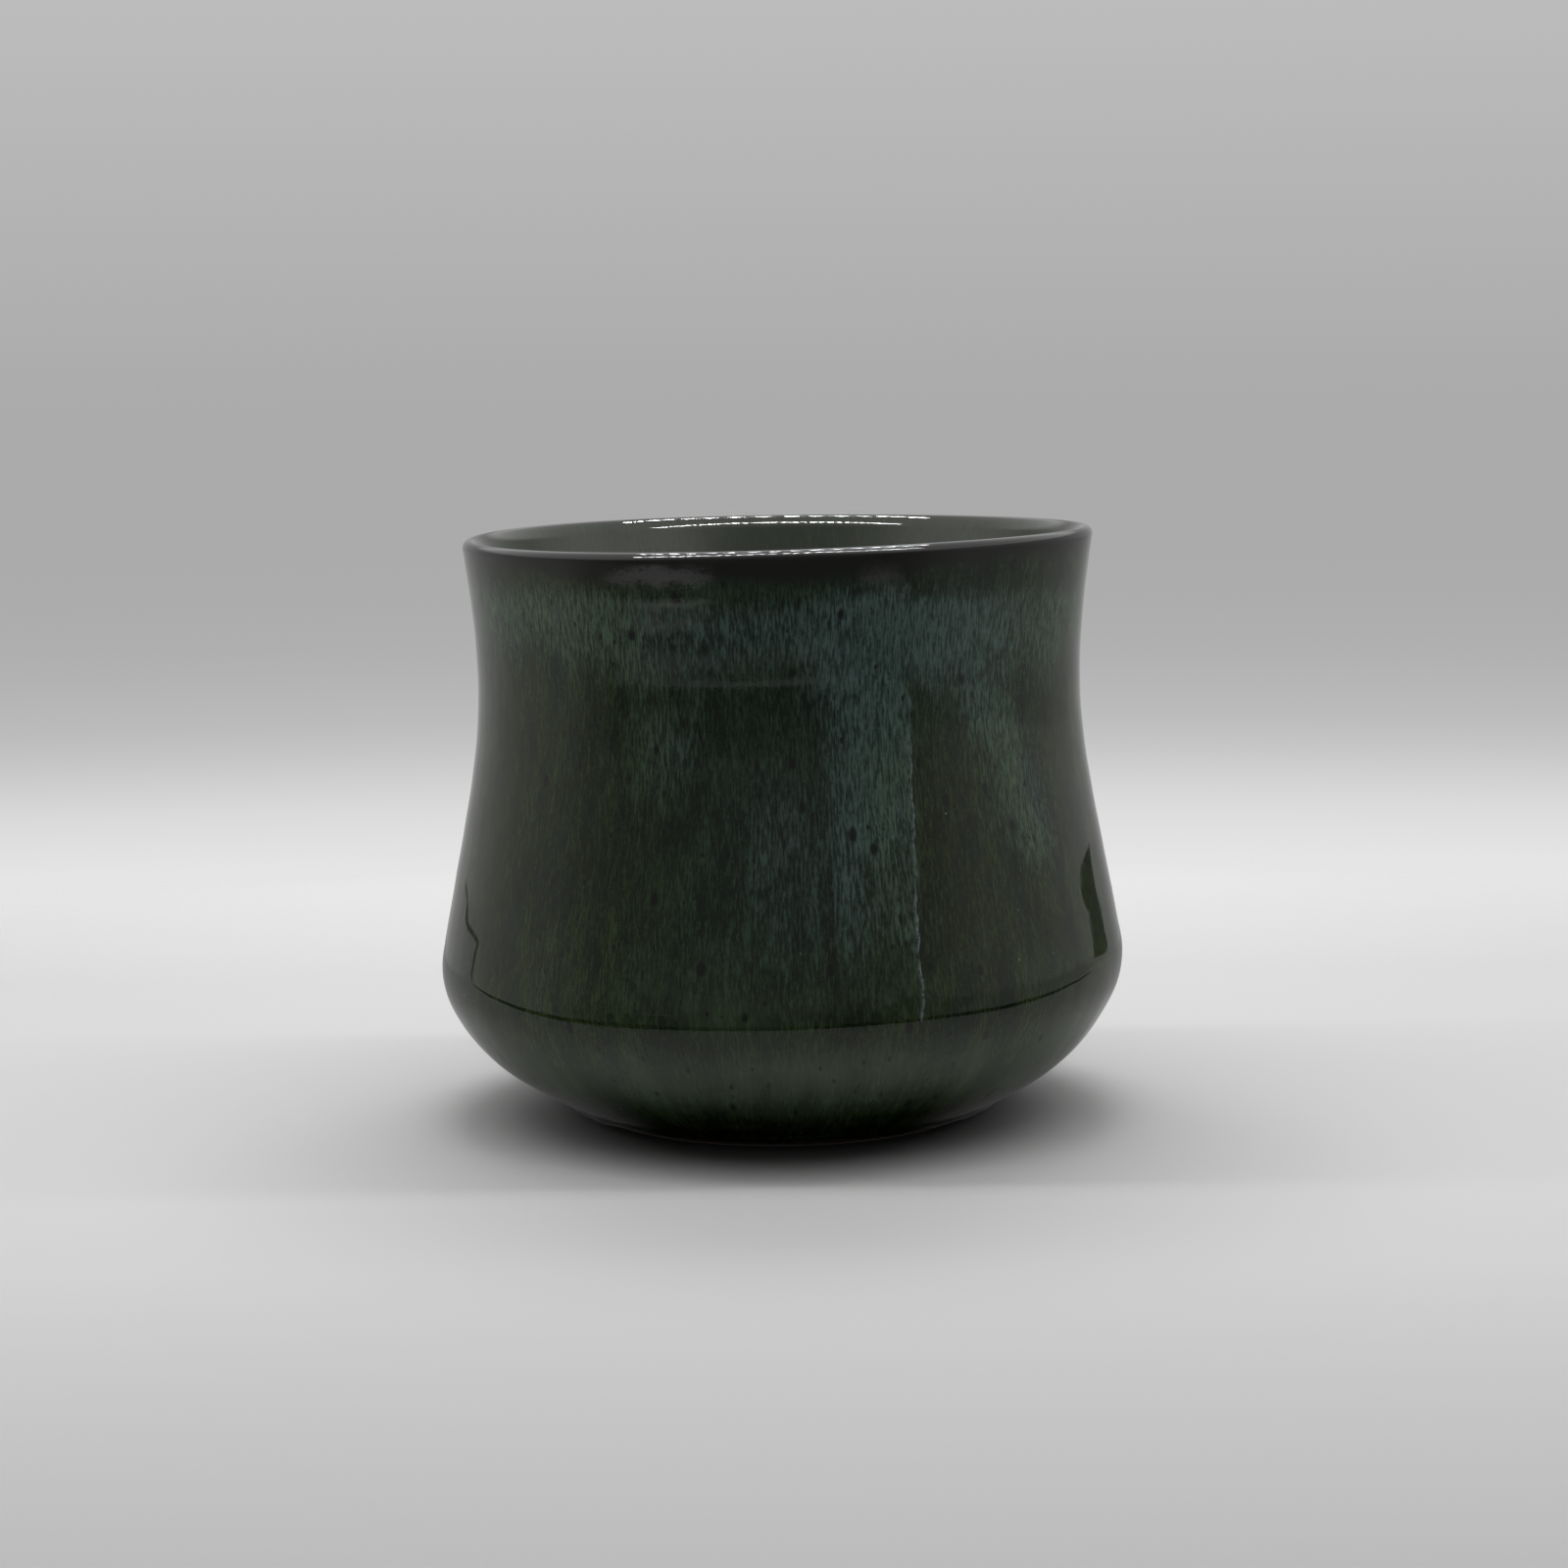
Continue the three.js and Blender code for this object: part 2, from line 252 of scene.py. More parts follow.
outer_wall = wall_face(BELLY_BEND, WAIST_RADIUS, band_outside, RIM_ANGLE)
inner_waist = WAIST_RADIUS - WAIST_THICKNESS
inner_wall = wall_face(BELLY_BEND - BELLY_THICKNESS, inner_waist, band_inside, INNER_RIM_ANGLE)
bowl = sweep(bead_end, BOWL_ANGLE, BOWL_EASE, outer_wall[0], bowl_heading, BOWL_EASE)
floor_middle = np.array([0.0, FLOOR_HEIGHT])
floor_dish = sweep(floor_middle, 0.0, FLOOR_EASE_MIDDLE, inner_wall[0], bowl_heading, FLOOR_EASE_SIDE)

# The lip: the wall tapers to a tight round outside and a wider one inside, which meet at the crest
taper = math.radians(INNER_RIM_ANGLE - RIM_ANGLE)
rim_wall = RIM_THICKNESS - LIP_BAND * math.tan(taper)
inner_reach = (rim_wall - LIP_OUTER_ROUND) * math.cos(taper)
crest_share = (LIP_INNER_ROUND - inner_reach) / (LIP_INNER_ROUND - LIP_OUTER_ROUND)
crest = 180.0 - INNER_RIM_ANGLE - math.degrees(math.acos(crest_share))
lip_outer_centre = rim_edge - LIP_OUTER_ROUND * rim_out
lip_inner_centre = lip_outer_centre + (LIP_OUTER_ROUND - LIP_INNER_ROUND) * heading(crest)
lip_rise = line(band_outside, rim_edge)
lip_over = arc(lip_outer_centre, LIP_OUTER_ROUND, -RIM_ANGLE, crest)
lip_down = arc(lip_inner_centre, LIP_INNER_ROUND, crest, 180.0 - INNER_RIM_ANGLE)
lip_fall = line(lip_down[-1], band_inside)
outside = Track(chain(line(bowl_start, bead_end), bowl, outer_wall), 1)
inside = Track(chain(floor_dish, inner_wall), -1)
lip = Track(chain(lip_rise, lip_over, lip_down, lip_fall), 1)
crest_run = LIP_BAND + LIP_OUTER_ROUND * math.radians(crest + RIM_ANGLE)


def thrown(radius, height, azimuth):
    """Places in metres of points on the cup as thrown: not quite round and not quite level."""
    turn = np.radians(azimuth)
    share = smooth(height, RISE_STARTS, RISE_FULL)
    oval = OVAL * np.cos(2.0 * turn + math.radians(OVAL_TURN))
    three = THREE_SIDED * np.cos(3.0 * turn + math.radians(THREE_SIDED_TURN))
    radius = radius * (1.0 + share * (oval + three) / BELLY_RADIUS)
    x = radius * np.sin(turn)
    y = -radius * np.cos(turn)
    rise = RIM_RISE * x / RIM_RADIUS + RIM_DIP * np.sin(2.0 * turn) * radius / RIM_RADIUS
    return MM * np.stack([x, y, height + share * rise], axis=-1)


def spiral(azimuth, run, pitch):
    """The groove that fingers leave on the wheel, which climbs by its pitch on each turn."""
    return np.sin(2.0 * math.pi * (run / pitch - azimuth / 360.0))


def glaze_edge(azimuth):
    """Where the outer glaze stops above the foot, as a length along the outside."""
    return BARE_BAND + EDGE_WAVER * ripple(azimuth, (3, 40), (8, 10), (17, 160), (31, 300))


def outer_relief(azimuth, run):
    """Relief of the outer glaze over the plain profile: rings, runs and the bead at its edge."""
    rings = OUTER_RING_RELIEF * spiral(azimuth, run, OUTER_RING_PITCH)
    runs = RUN_RELIEF * ripple(azimuth, (23, 10), (37, 80), (61, 200), (89, 20))
    beyond_edge = run - glaze_edge(azimuth)
    share = smooth(outside.end - run, 0.0, RELIEF_FADE) * smooth(beyond_edge, 0.0, RELIEF_FADE)
    along = np.clip(beyond_edge / BEAD_LENGTH, 0.0, 1.0)
    swell = 1.0 + BEAD_WAVER * ripple(azimuth, (5, 30), (13, 110), (29, 250))
    return share * (rings + runs) + BEAD_BULGE * swell * np.sin(math.pi * along)


def coat_thickness(track, run, full):
    """Thickness of a coat that thins from the waist to the lip."""
    waist = track.run_at(WAIST_HEIGHT)
    share = np.clip((run - waist) / (track.end - waist), 0.0, 1.0)
    return full + share * (LIP_COAT - full)


def inner_relief(azimuth, run):
    rings = INNER_RING_RELIEF * spiral(azimuth, run, INNER_RING_PITCH)
    return rings * smooth(run, *INNER_RINGS_START) * smooth(inside.end - run, 0.0, INNER_RINGS_FADE)


# Overlap of the pours: azimuth of both edges by height, and depth, rate and start of their wobbles
RIGHT_EDGE = {20.5: 22.6, 31.7: 22.5, 43.0: 23.5, 58.0: 24.0, 67.0: 23.6}
LEFT_EDGE = {26.0: 9.5, 45.0: 11.0, 64.0: 11.5}
WOBBLES = ((0.14, 0.85, 0.0), (0.08, 2.3, 1.0))
TIP_WIDTH = 3.0

# Milky band below the lip: heights, softness of both edges, and strength
BAND_LOW = 65.0
BAND_LOW_SOFT = (-7.0, 4.0)
BAND_HIGH = 71.5
BAND_HIGH_SOFT = 5.0
BAND_WAVER = 3.0
BAND_SWELL = 3.0
BAND_LEFT_LOW = 4.0
BAND_LEFT_HIGH = 2.0
BAND_STRENGTH = 0.38
BAND_UNEVEN = 0.12
BAND_RIGHT = 0.72
BAND_LEFT = 0.42

# Milky veil that slants down the right shoulder: azimuth by height
SHOULDER = {41.0: 50.0, 47.0: 47.5, 52.0: 46.0, 58.0: 41.0, 64.0: 37.0}
SHOULDER_WIDTH = 7.0
SHOULDER_FOOT = (34.0, 43.0)
SHOULDER_TOP = (70.0, 76.0)
SHOULDER_STRENGTH = 0.7

# Milky veil in the strip: azimuth of its left side by height, and where it fades, dims and parts
VEIL_LEFT = {27.0: 10.5, 36.0: 7.5, 46.0: 7.5, 57.0: 7.0, 66.0: 3.5, 72.0: 1.0}
VEIL_LEFT_SOFT = (-5.0, 13.0)
VEIL_RIGHT_SOFT = (-0.7, 0.2)
VEIL_FOOT = (21.0, 33.0)
VEIL_TOP = (72.0, 78.5)
RIDGE_SIDE = (18.5, 22.5)
RIDGE_SIDE_DARK = 0.28
RIDGE_SIDE_DARKER = 0.22
RIDGE_SIDE_LOW = (40.0, 50.0)
VEIL_DIM = (45.0, 9.0)
VEIL_DIM_SHARE = 0.10
PARTING = (17.2, 3.8)
PARTING_TOP = (38.0, 46.0)
PARTING_STRENGTH = 0.55

# Soft patches of the glaze: azimuth and half width, height and half height, and strength
VEIL_SPOT = (10.8, 3.0, 43.0, 10.0, 0.28)
FAINT_SPOTS = ((2.0, 10.0, 42.0, 14.0, 0.30), (-21.0, 7.0, 56.0, 7.0, 0.36))
ADDED_SPOTS = ((14.5, 5.0, 67.5, 4.0, 0.20), (22.5, 3.5, 64.5, 3.5, -0.22))
# Patches of the painted light on the lower belly, listed the same way
BELLY_LIGHT_SPOTS = ((-9.0, 9.0, 21.5, 2.5, 0.7), (48.0, 7.0, 24.0, 3.0, 0.5))

# Olive sides and belly, painted light over the lower belly as a lighter green that stands for light from
# the table, and the thin glaze at the lip
OLIVE_MIDDLE = -2.0
OLIVE_SIDES = (6.0, 34.0)
OLIVE_BELLY = (19.0, 30.0)
OLIVE_BELLY_SHARE = 0.8
BLUE_SIDE_HEIGHT = (50.0, 62.0)
BLUE_SIDE_SHARE = 0.85
BELLY_LIGHT_FOOT = (5.0, 10.0)
BELLY_LIGHT_TOP = (13.5, 19.0)
THIN_START = 75.8
THIN_EDGE = 2.6
THIN_WAVER = 0.5
THIN_MIDDLE = -3.0
THIN_SIDES = (18.0, 45.0)
THIN_SIDE_RISE = 1.6


def course(height, stops):
    """Value by height, in straight stretches between stops."""
    return np.interp(height, list(stops), list(stops.values()))


def overlap_right(height):
    """Azimuth of the strip's right edge, which wanders on its way down."""
    wobble = sum(depth * np.sin(rate * height + start) for depth, rate, start in WOBBLES)
    return course(height, RIGHT_EDGE) + wobble


def overlap_left(height):
    """Azimuth of the strip's soft left edge, which closes on the right one at the tip."""
    share = smooth(height, OVERLAP_TIP, OVERLAP_TIP + OVERLAP_TAPER)
    return course(height, LEFT_EDGE) * share + (overlap_right(height) - TIP_WIDTH) * (1.0 - share)


def signed(azimuth):
    """The same azimuth between -180 and 180 degrees."""
    return (azimuth + 180.0) % 360.0 - 180.0


def spot(turn, height, azimuth, wide, middle, tall, strength):
    """A soft patch on the wall."""
    return strength * hump(turn, azimuth, wide) * hump(height, middle, tall)


def band_veil(azimuth, height):
    """The milky band below the lip, stronger on the right and on the far left."""
    turn = signed(azimuth)
    low = BAND_LOW + BAND_LEFT_LOW * smooth(-turn, 14.0, 34.0) + BAND_SWELL * hump(turn, -5.0, 14.0)
    low = low + BAND_WAVER * ripple(azimuth, (4, 20), (9, 140), (21, 60), (47, 10))
    high = BAND_HIGH + BAND_LEFT_HIGH * smooth(-turn, 10.0, 35.0)
    foot = (low + BAND_LOW_SOFT[0], low + BAND_LOW_SOFT[1])
    band = faded(height, foot, (high, high + BAND_HIGH_SOFT))
    strength = BAND_STRENGTH + BAND_UNEVEN * ripple(azimuth, (5, 200), (11, 90))
    strength = strength + BAND_RIGHT * hump(turn, 25.0, 20.0) + BAND_LEFT * hump(turn, -46.0, 18.0)
    return band * strength


def shoulder_veil(turn, height):
    slant = hump(turn, course(height, SHOULDER), SHOULDER_WIDTH)
    return SHOULDER_STRENGTH * slant * faded(height, SHOULDER_FOOT, SHOULDER_TOP)


def strip_veil(turn, height):
    """The milky glaze of the strip, darker beside the ridge and parted low down."""
    left = course(height, VEIL_LEFT)
    soft_left = smooth(turn, left + VEIL_LEFT_SOFT[0], left + VEIL_LEFT_SOFT[1])
    inside_edge = 1.0 - smooth(turn - overlap_right(height), *VEIL_RIGHT_SOFT)
    veil = soft_left * inside_edge * faded(height, VEIL_FOOT, VEIL_TOP)
    darker = RIDGE_SIDE_DARK + RIDGE_SIDE_DARKER * (1.0 - smooth(height, *RIDGE_SIDE_LOW))
    veil = veil * (1.0 - darker * smooth(turn, *RIDGE_SIDE))
    veil = veil * (1.0 - VEIL_DIM_SHARE * hump(height, *VEIL_DIM))
    veil = veil + spot(turn, height, *VEIL_SPOT)
    return veil - PARTING_STRENGTH * hump(turn, *PARTING) * (1.0 - smooth(height, *PARTING_TOP))


def milky(azimuth, height):
    """Share of the milky blue that the glaze shows where it lies thick."""
    turn = signed(azimuth)
    veils = np.maximum(band_veil(azimuth, height), shoulder_veil(turn, height))
    veils = np.maximum(veils, strip_veil(turn, height))
    for faint in FAINT_SPOTS:
        veils = np.maximum(veils, spot(turn, height, *faint))
    for added in ADDED_SPOTS:
        veils = veils + spot(turn, height, *added)
    return np.clip(veils, 0.0, 1.0)


def olive(azimuth, height):
    """Share of the warmer olive, on the sides of the wall and over the belly."""
    turn = signed(azimuth)
    sides = smooth(np.abs(turn - OLIVE_MIDDLE), *OLIVE_SIDES)
    blue_side = BLUE_SIDE_SHARE * hump(turn, 25.0, 30.0) * smooth(height, *BLUE_SIDE_HEIGHT)
    belly = OLIVE_BELLY_SHARE * (1.0 - smooth(height, *OLIVE_BELLY))
    return np.maximum(sides * (1.0 - blue_side), belly)


def belly_painted_light(azimuth, height):
    """Share of the painted light over the lower belly: a lighter green that stands for light from the
    table below.
    """
    turn = signed(azimuth)
    patchy = 0.75 + 0.25 * ripple(azimuth, (6, 150), (13, 40), (27, 260))
    lit = patchy * faded(height, BELLY_LIGHT_FOOT, BELLY_LIGHT_TOP)
    return lit + sum(spot(turn, height, *added) for added in BELLY_LIGHT_SPOTS)


def thin(azimuth, height):
    """Share of the glaze that has run off the outside of the lip and lets the brown through."""
    waver = THIN_WAVER * ripple(azimuth, (7, 0), (19, 70), (43, 130))
    aside = np.abs(signed(azimuth) - THIN_MIDDLE)
    start = THIN_START + THIN_SIDE_RISE * smooth(aside, *THIN_SIDES)
    return smooth(height + waver, start, start + THIN_EDGE)


def glaze_fields(azimuth, height, inward=0.0):
    """Values for the glaze material; inward is 0 on the outside of the cup and 1 on its inside."""
    outward = 1.0 - inward
    return {
        "milky": milky(azimuth, height) * outward,
        "olive": olive(azimuth, height),
        "belly_painted_light": belly_painted_light(azimuth, height) * outward,
        "thin": thin(azimuth, height) * outward,
        "inward": np.broadcast_to(inward, np.broadcast(azimuth, height).shape),
    }


# Node trees
class Graph:
    """Shorthand for the nodes of a material or a world."""

    FACTOR = 0
    FIRST = 6
    SECOND = 7
    RESULT = 2

    def __init__(self, owner):
        owner.use_nodes = True
        self.tree = owner.node_tree
        self.tree.nodes.clear()

    def add(self, kind, inputs=None, **settings):
        node = self.tree.nodes.new(kind)
        for name, value in settings.items():
            setattr(node, name, value)
        for name, value in (inputs or {}).items():
            if isinstance(value, bpy.types.NodeSocket):
                self.tree.links.new(value, node.inputs[name])
            else:
                node.inputs[name].default_value = value
        return node

    def calc(self, operation, first, second=0.0):
        return self.add("ShaderNodeMath", {0: first, 1: second}, operation=operation).outputs[0]

    def weighted(self, *parts):
        """Sum of values, each times its weight."""
        total = 0.0
        for value, weight in parts:
            inputs = {0: value, 1: weight, 2: total}
            total = self.add("ShaderNodeMath", inputs, operation="MULTIPLY_ADD").outputs[0]
        return total

    def times(self, first, second):
        return self.calc("MULTIPLY", first, second)

    def vector(self, operation, first, second=(0.0, 0.0, 0.0)):
        return self.add("ShaderNodeVectorMath", {0: first, 1: second}, operation=operation).outputs[0]

    def length(self, vector):
        return self.add("ShaderNodeVectorMath", {0: vector}, operation="LENGTH").outputs["Value"]

    def flat(self, place):
        """The same place at height 0, as far from the axis."""
        return self.vector("MULTIPLY", place, (1.0, 1.0, 0.0))

    def linear(self, value, low, high, easing="LINEAR"):
        """Share of a value between two limits."""
        inputs = {"Value": value, "From Min": low, "From Max": high}
        return self.add("ShaderNodeMapRange", inputs, interpolation_type=easing).outputs[0]

    def between(self, value, low, high):
        """Eased share of a value between two limits."""
        return self.linear(value, low, high, "SMOOTHSTEP")

    def noise(self, vector, size, detail=3.0, roughness=0.55):
        """Cloudy pattern from 0 to 1 whose patches are about this many millimetres across."""
        scale = 1.0 / (size * MM)
        inputs = {"Vector": vector, "Scale": scale, "Detail": detail, "Roughness": roughness}
        return self.add("ShaderNodeTexNoise", inputs).outputs[0]

    def cells(self, vector, size):
        """Points scattered this many millimetres apart: distance to the nearest, and its draw."""
        node = self.add("ShaderNodeTexVoronoi", {"Vector": vector, "Scale": 1.0 / (size * MM)})
        draw = self.add("ShaderNodeSeparateColor", {"Color": node.outputs["Color"]})
        return node.outputs["Distance"], draw.outputs[0]

    def mix(self, share, first, second):
        inputs = {self.FACTOR: share, self.FIRST: first, self.SECOND: second}
        return self.add("ShaderNodeMix", inputs, data_type="RGBA").outputs[self.RESULT]

    def field(self, name):
        return self.add("ShaderNodeAttribute", attribute_name=name).outputs["Fac"]

    def place(self):
        return self.add("ShaderNodeTexCoord").outputs["Object"]

    def bump(self, height, depth, normal=None):
        """Relief of this many millimetres between a height of 0 and 1."""
        inputs = {"Height": height, "Distance": depth * MM, "Strength": 1.0}
        if normal is not None:
            inputs["Normal"] = normal
        return self.add("ShaderNodeBump", inputs).outputs[0]

    def drawn_out(self, place, stretch):
        """Places that stretch a pattern down the wall, the same all round the cup."""
        outward = self.vector("NORMALIZE", self.flat(place))
        ring = self.vector("MULTIPLY", outward, (WAIST_RADIUS * MM, WAIST_RADIUS * MM, 0.0))
        down = self.vector("MULTIPLY", place, (0.0, 0.0, 1.0 / stretch))
        return self.vector("ADD", ring, down)

    def surface(self, shader):
        self.add("ShaderNodeOutputMaterial", {"Surface": shader.outputs[0]})


def colour(red, green, blue):
    return (red, green, blue, 1.0)


def grey(level):
    return colour(level, level, level)


DEEP_GREEN = colour(0.0026, 0.0084, 0.0029)
GREEN = colour(0.0215, 0.0430, 0.0195)
DEEP_OLIVE = colour(0.0048, 0.0100, 0.0009)
OLIVE = colour(0.0275, 0.0430, 0.0090)
# Inside glaze, painted lighter than the outside as a painted reflection of the light from above
LINER_DEEP_PAINTED_LIGHTER = colour(0.0280, 0.0370, 0.0230)
LINER_PAINTED_LIGHTER = colour(0.0480, 0.0590, 0.0390)
DEEP_BLUE = colour(0.0080, 0.0230, 0.0180)
MILKY_BLUE = colour(0.0900, 0.1480, 0.1350)
DEEP_MINT = colour(0.0100, 0.0230, 0.0100)
MILKY_MINT = colour(0.0920, 0.1500, 0.0880)
# Lighter green painted over the lower belly, standing for light from the table
BELLY_PAINTED_LIGHT_COLOUR = colour(0.0500, 0.0780, 0.0380)
IRON_SPECK = colour(0.0022, 0.0034, 0.0020)
THIN_BROWN = colour(0.0080, 0.0096, 0.0066)
# Pale colour of the ridge, also used for the painted highlights of the pinholes
PALE_EDGE_AND_GLINT = colour(0.2500, 0.3150, 0.3300)

# Grain of the glaze in millimetres, and how far it is drawn down the wall
CLOUD_SIZE = 8.0
RUN_SIZE = 3.2
RUN_STRETCH = 5.0
HAIR_SIZE = 0.29
HAIR_STRETCH = 7.0
DUST_SIZE = 0.45
DUST_STRETCH = 1.6
SWELL_SIZE = 6.0
SWELL_DEPTH = 0.012
TEXTURE_DEPTH = 0.0015
GLAZE_ROUGHNESS = 0.040
VEIL_ROUGHNESS = 0.07
GLAZE_IOR = 1.5

# Iron specks of two sizes: spacing and size in millimetres, share of the points, stretch and strength
IRON_SPECKS = [(3.0, 0.88, 0.50, 1.8, 0.92), (1.6, 0.42, 0.35, 1.7, 0.85)]

# Pinholes, painted as pale dots that stand for the glints they catch (painted highlights): spacing, size
# and share of the points
PINHOLE_GLINTS = (2.4, 0.22, 0.05)
PINHOLE_GLINT_STRENGTH = 0.6

# Specks differ in size and have soft edges, as shares of it
SPECK_LEAST = 0.3
SPECK_EDGE = (0.30, 0.65)
SPECK_CUT = 0.02


def specks(g, place, spacing, size, share):
    """Round spots of this size in millimetres, on this share of the points of a scatter."""
    distance, draw = g.cells(place, spacing)
    grown = g.calc("DIVIDE", distance, g.calc("ADD", draw, SPECK_LEAST))
    core, rim = [edge * size / spacing for edge in SPECK_EDGE]
    spot_shade = g.calc("SUBTRACT", 1.0, g.between(grown, core, rim))
    return g.times(spot_shade, g.between(draw, 1.0 - SPECK_CUT - share, 1.0 - share))


def glaze_material(name):
    """Dark glossy glaze: cloudy green, runs, milky streaks, iron specks and a brown lip, with painted
    light: glints on pinholes, a lighter lower belly and a lighter inside.
    """
    material = bpy.data.materials.new(name)
    g = Graph(material)
    place = g.place()
    drawn_hairs = g.drawn_out(place, HAIR_STRETCH)
    drawn_dust = g.drawn_out(place, DUST_STRETCH)
    clouds = g.between(g.noise(place, CLOUD_SIZE, detail=4.0), 0.30, 0.70)
    runs = g.between(g.noise(g.drawn_out(place, RUN_STRETCH), RUN_SIZE), 0.30, 0.70)
    hairs = g.between(g.noise(drawn_hairs, HAIR_SIZE, detail=2.0, roughness=0.6), 0.32, 0.68)
    dust = g.between(g.noise(drawn_dust, DUST_SIZE, detail=2.0, roughness=0.7), 0.34, 0.66)
    texture = g.weighted((hairs, 0.6), (dust, 0.4))
    cloudy = g.weighted((clouds, 0.5), (runs, 0.5))
    tone = g.between(g.weighted((texture, 0.55), (cloudy, 0.45)), 0.15, 0.95)
    even = g.weighted((texture, 0.25), (clouds, 0.75))
    warmth = g.times(g.field("olive"), g.between(runs, -0.3, 0.6))
    body = g.mix(warmth, g.mix(tone, DEEP_GREEN, GREEN), g.mix(tone, DEEP_OLIVE, OLIVE))
    # Painted reflection: the inside takes a lighter green than the outside
    body = g.mix(g.field("inward"), body, g.mix(even, LINER_DEEP_PAINTED_LIGHTER, LINER_PAINTED_LIGHTER))
    # Painted light: the lower belly is mixed towards a lighter green that stands for light from the
    # table
    body = g.mix(g.times(g.field("belly_painted_light"), g.linear(cloudy, -0.5, 1.0)), body, BELLY_PAINTED_LIGHT_COLOUR)
    drift = g.weighted((runs, 0.18), (hairs, 0.26), (g.field("milky"), 1.0))
    patches = g.between(drift, 0.18, 1.13)
    streaks = g.weighted((hairs, 0.75), (dust, 0.25))
    blue = g.mix(streaks, DEEP_BLUE, MILKY_BLUE)
    mint = g.mix(streaks, DEEP_MINT, MILKY_MINT)
    body = g.mix(patches, body, g.mix(warmth, blue, mint))
    outward = g.calc("SUBTRACT", 1.0, g.field("inward"))
    for spacing, size, share, stretch, strength in IRON_SPECKS:
        spots = specks(g, g.drawn_out(place, stretch), spacing, size, share)
        body = g.mix(g.times(spots, g.times(outward, strength)), body, IRON_SPECK)
    # Painted highlights: pinholes as pale dots for the glints they catch
    body = g.mix(g.times(specks(g, place, *PINHOLE_GLINTS), PINHOLE_GLINT_STRENGTH), body, PALE_EDGE_AND_GLINT)
    body = g.mix(g.times(g.field("thin"), g.between(texture, -0.6, 0.5)), body, THIN_BROWN)
    body = g.mix(g.times(g.field("ridge"), g.between(dust, -0.2, 0.7)), body, PALE_EDGE_AND_GLINT)
    swells = g.noise(place, SWELL_SIZE, detail=1.0)
    normal = g.bump(texture, TEXTURE_DEPTH, g.bump(swells, SWELL_DEPTH))
    rough = g.calc("ADD", GLAZE_ROUGHNESS, g.times(patches, VEIL_ROUGHNESS))
    inputs = {"Base Color": body, "Roughness": rough, "Normal": normal, "IOR": GLAZE_IOR}
    g.surface(g.add("ShaderNodeBsdfPrincipled", inputs))
    return material


CLAY_DARK = colour(0.030, 0.022, 0.016)
CLAY = colour(0.075, 0.052, 0.038)
CLAY_PALE = colour(0.120, 0.090, 0.066)
CLAY_CLOUD_SIZE = 7.0
CLAY_GRAIN_SIZE = 0.35
CLAY_GRAIN_DEPTH = 0.05
CLAY_LINE_SIZE = 0.5
CLAY_LINE_DEPTH = 0.03
CLAY_SPECKS = (1.5, 0.4, 0.45)
CLAY_ROUGHNESS = 0.68


def clay_material():
    """Bare fired stoneware: fine sandy grain, iron specks and turning lines."""
    material = bpy.data.materials.new("stoneware")
    g = Graph(material)
    place = g.place()
    clouds = g.noise(place, CLAY_CLOUD_SIZE, detail=4.0)
    grain = g.noise(place, CLAY_GRAIN_SIZE, detail=3.0, roughness=0.7)
    body = g.mix(g.between(clouds, 0.3, 0.7), CLAY, CLAY_PALE)
    body = g.mix(g.times(g.between(grain, 0.5, 0.75), 0.5), body, CLAY_DARK)
    body = g.mix(specks(g, place, *CLAY_SPECKS), body, IRON_SPECK)
    radius = g.add("ShaderNodeCombineXYZ", {"X": g.length(g.flat(place))}).outputs[0]
    lines = g.noise(radius, CLAY_LINE_SIZE, detail=2.0)
    normal = g.bump(lines, CLAY_LINE_DEPTH, g.bump(grain, CLAY_GRAIN_DEPTH))
    rough = g.calc("ADD", CLAY_ROUGHNESS, g.times(grain, 0.25))
    inputs = {"Base Color": body, "Roughness": rough, "Normal": normal}
    g.surface(g.add("ShaderNodeBsdfPrincipled", inputs))
    return material


# Meshes
def add_object(name, data):
    added = bpy.data.objects.new(name, data)
    bpy.context.scene.collection.objects.link(added)
    return added


def add_piece(name, points, faces, fields, material):
    """A smooth mesh that stands for the node of its name, with values for its material."""
    mesh = bpy.data.meshes.new(name)
    mesh.from_pydata(points.tolist(), [], faces)
    for field, values in fields.items():
        layer = mesh.attributes.new(field, "FLOAT", "POINT")
        layer.data.foreach_set("value", np.asarray(values, np.float32).ravel())
    mesh.shade_smooth()
    mesh.set_sharp_from_angle(angle=math.radians(SHARP_ANGLE))
    mesh.materials.append(material)
    piece = add_object(name + "_looks", mesh)
    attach(piece, "root")
    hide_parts(name)


def round_faces(rows, closed):
    """Quads between neighbouring columns of points, which close into loops or stop at their ends."""
    index = np.arange(COLUMNS * rows).reshape(COLUMNS, rows)
    later = np.roll(index, -1, axis=0)
    quads = np.stack([index, later, np.roll(later, -1, axis=1), np.roll(index, -1, axis=1)], axis=-1)
    kept = quads if closed else quads[:, :-1]
    return kept.reshape(-1, 4).tolist()


def pole_faces(rows, row, pole, rising):
    """Triangles from an end row to a point on the axis."""
    ring = [column * rows + row for column in range(COLUMNS)]
    pairs = zip(ring, ring[1:] + ring[:1])
    return [[near, far, pole] if rising else [far, near, pole] for near, far in pairs]


around = np.arange(COLUMNS)[:, None] * 360.0 / COLUMNS
every = np.ones((COLUMNS, 1))


def add_loop(name, track, run, distance, inward, material):
    """A coat round the cup as a closed outline: lengths along a track and distances off it."""
    radius, height = track.off(run, distance)
    points = thrown(radius, height, around).reshape(-1, 3)
    faces = round_faces(run.shape[1], True)
    add_piece(name, points, faces, glaze_fields(around, height, inward), material)


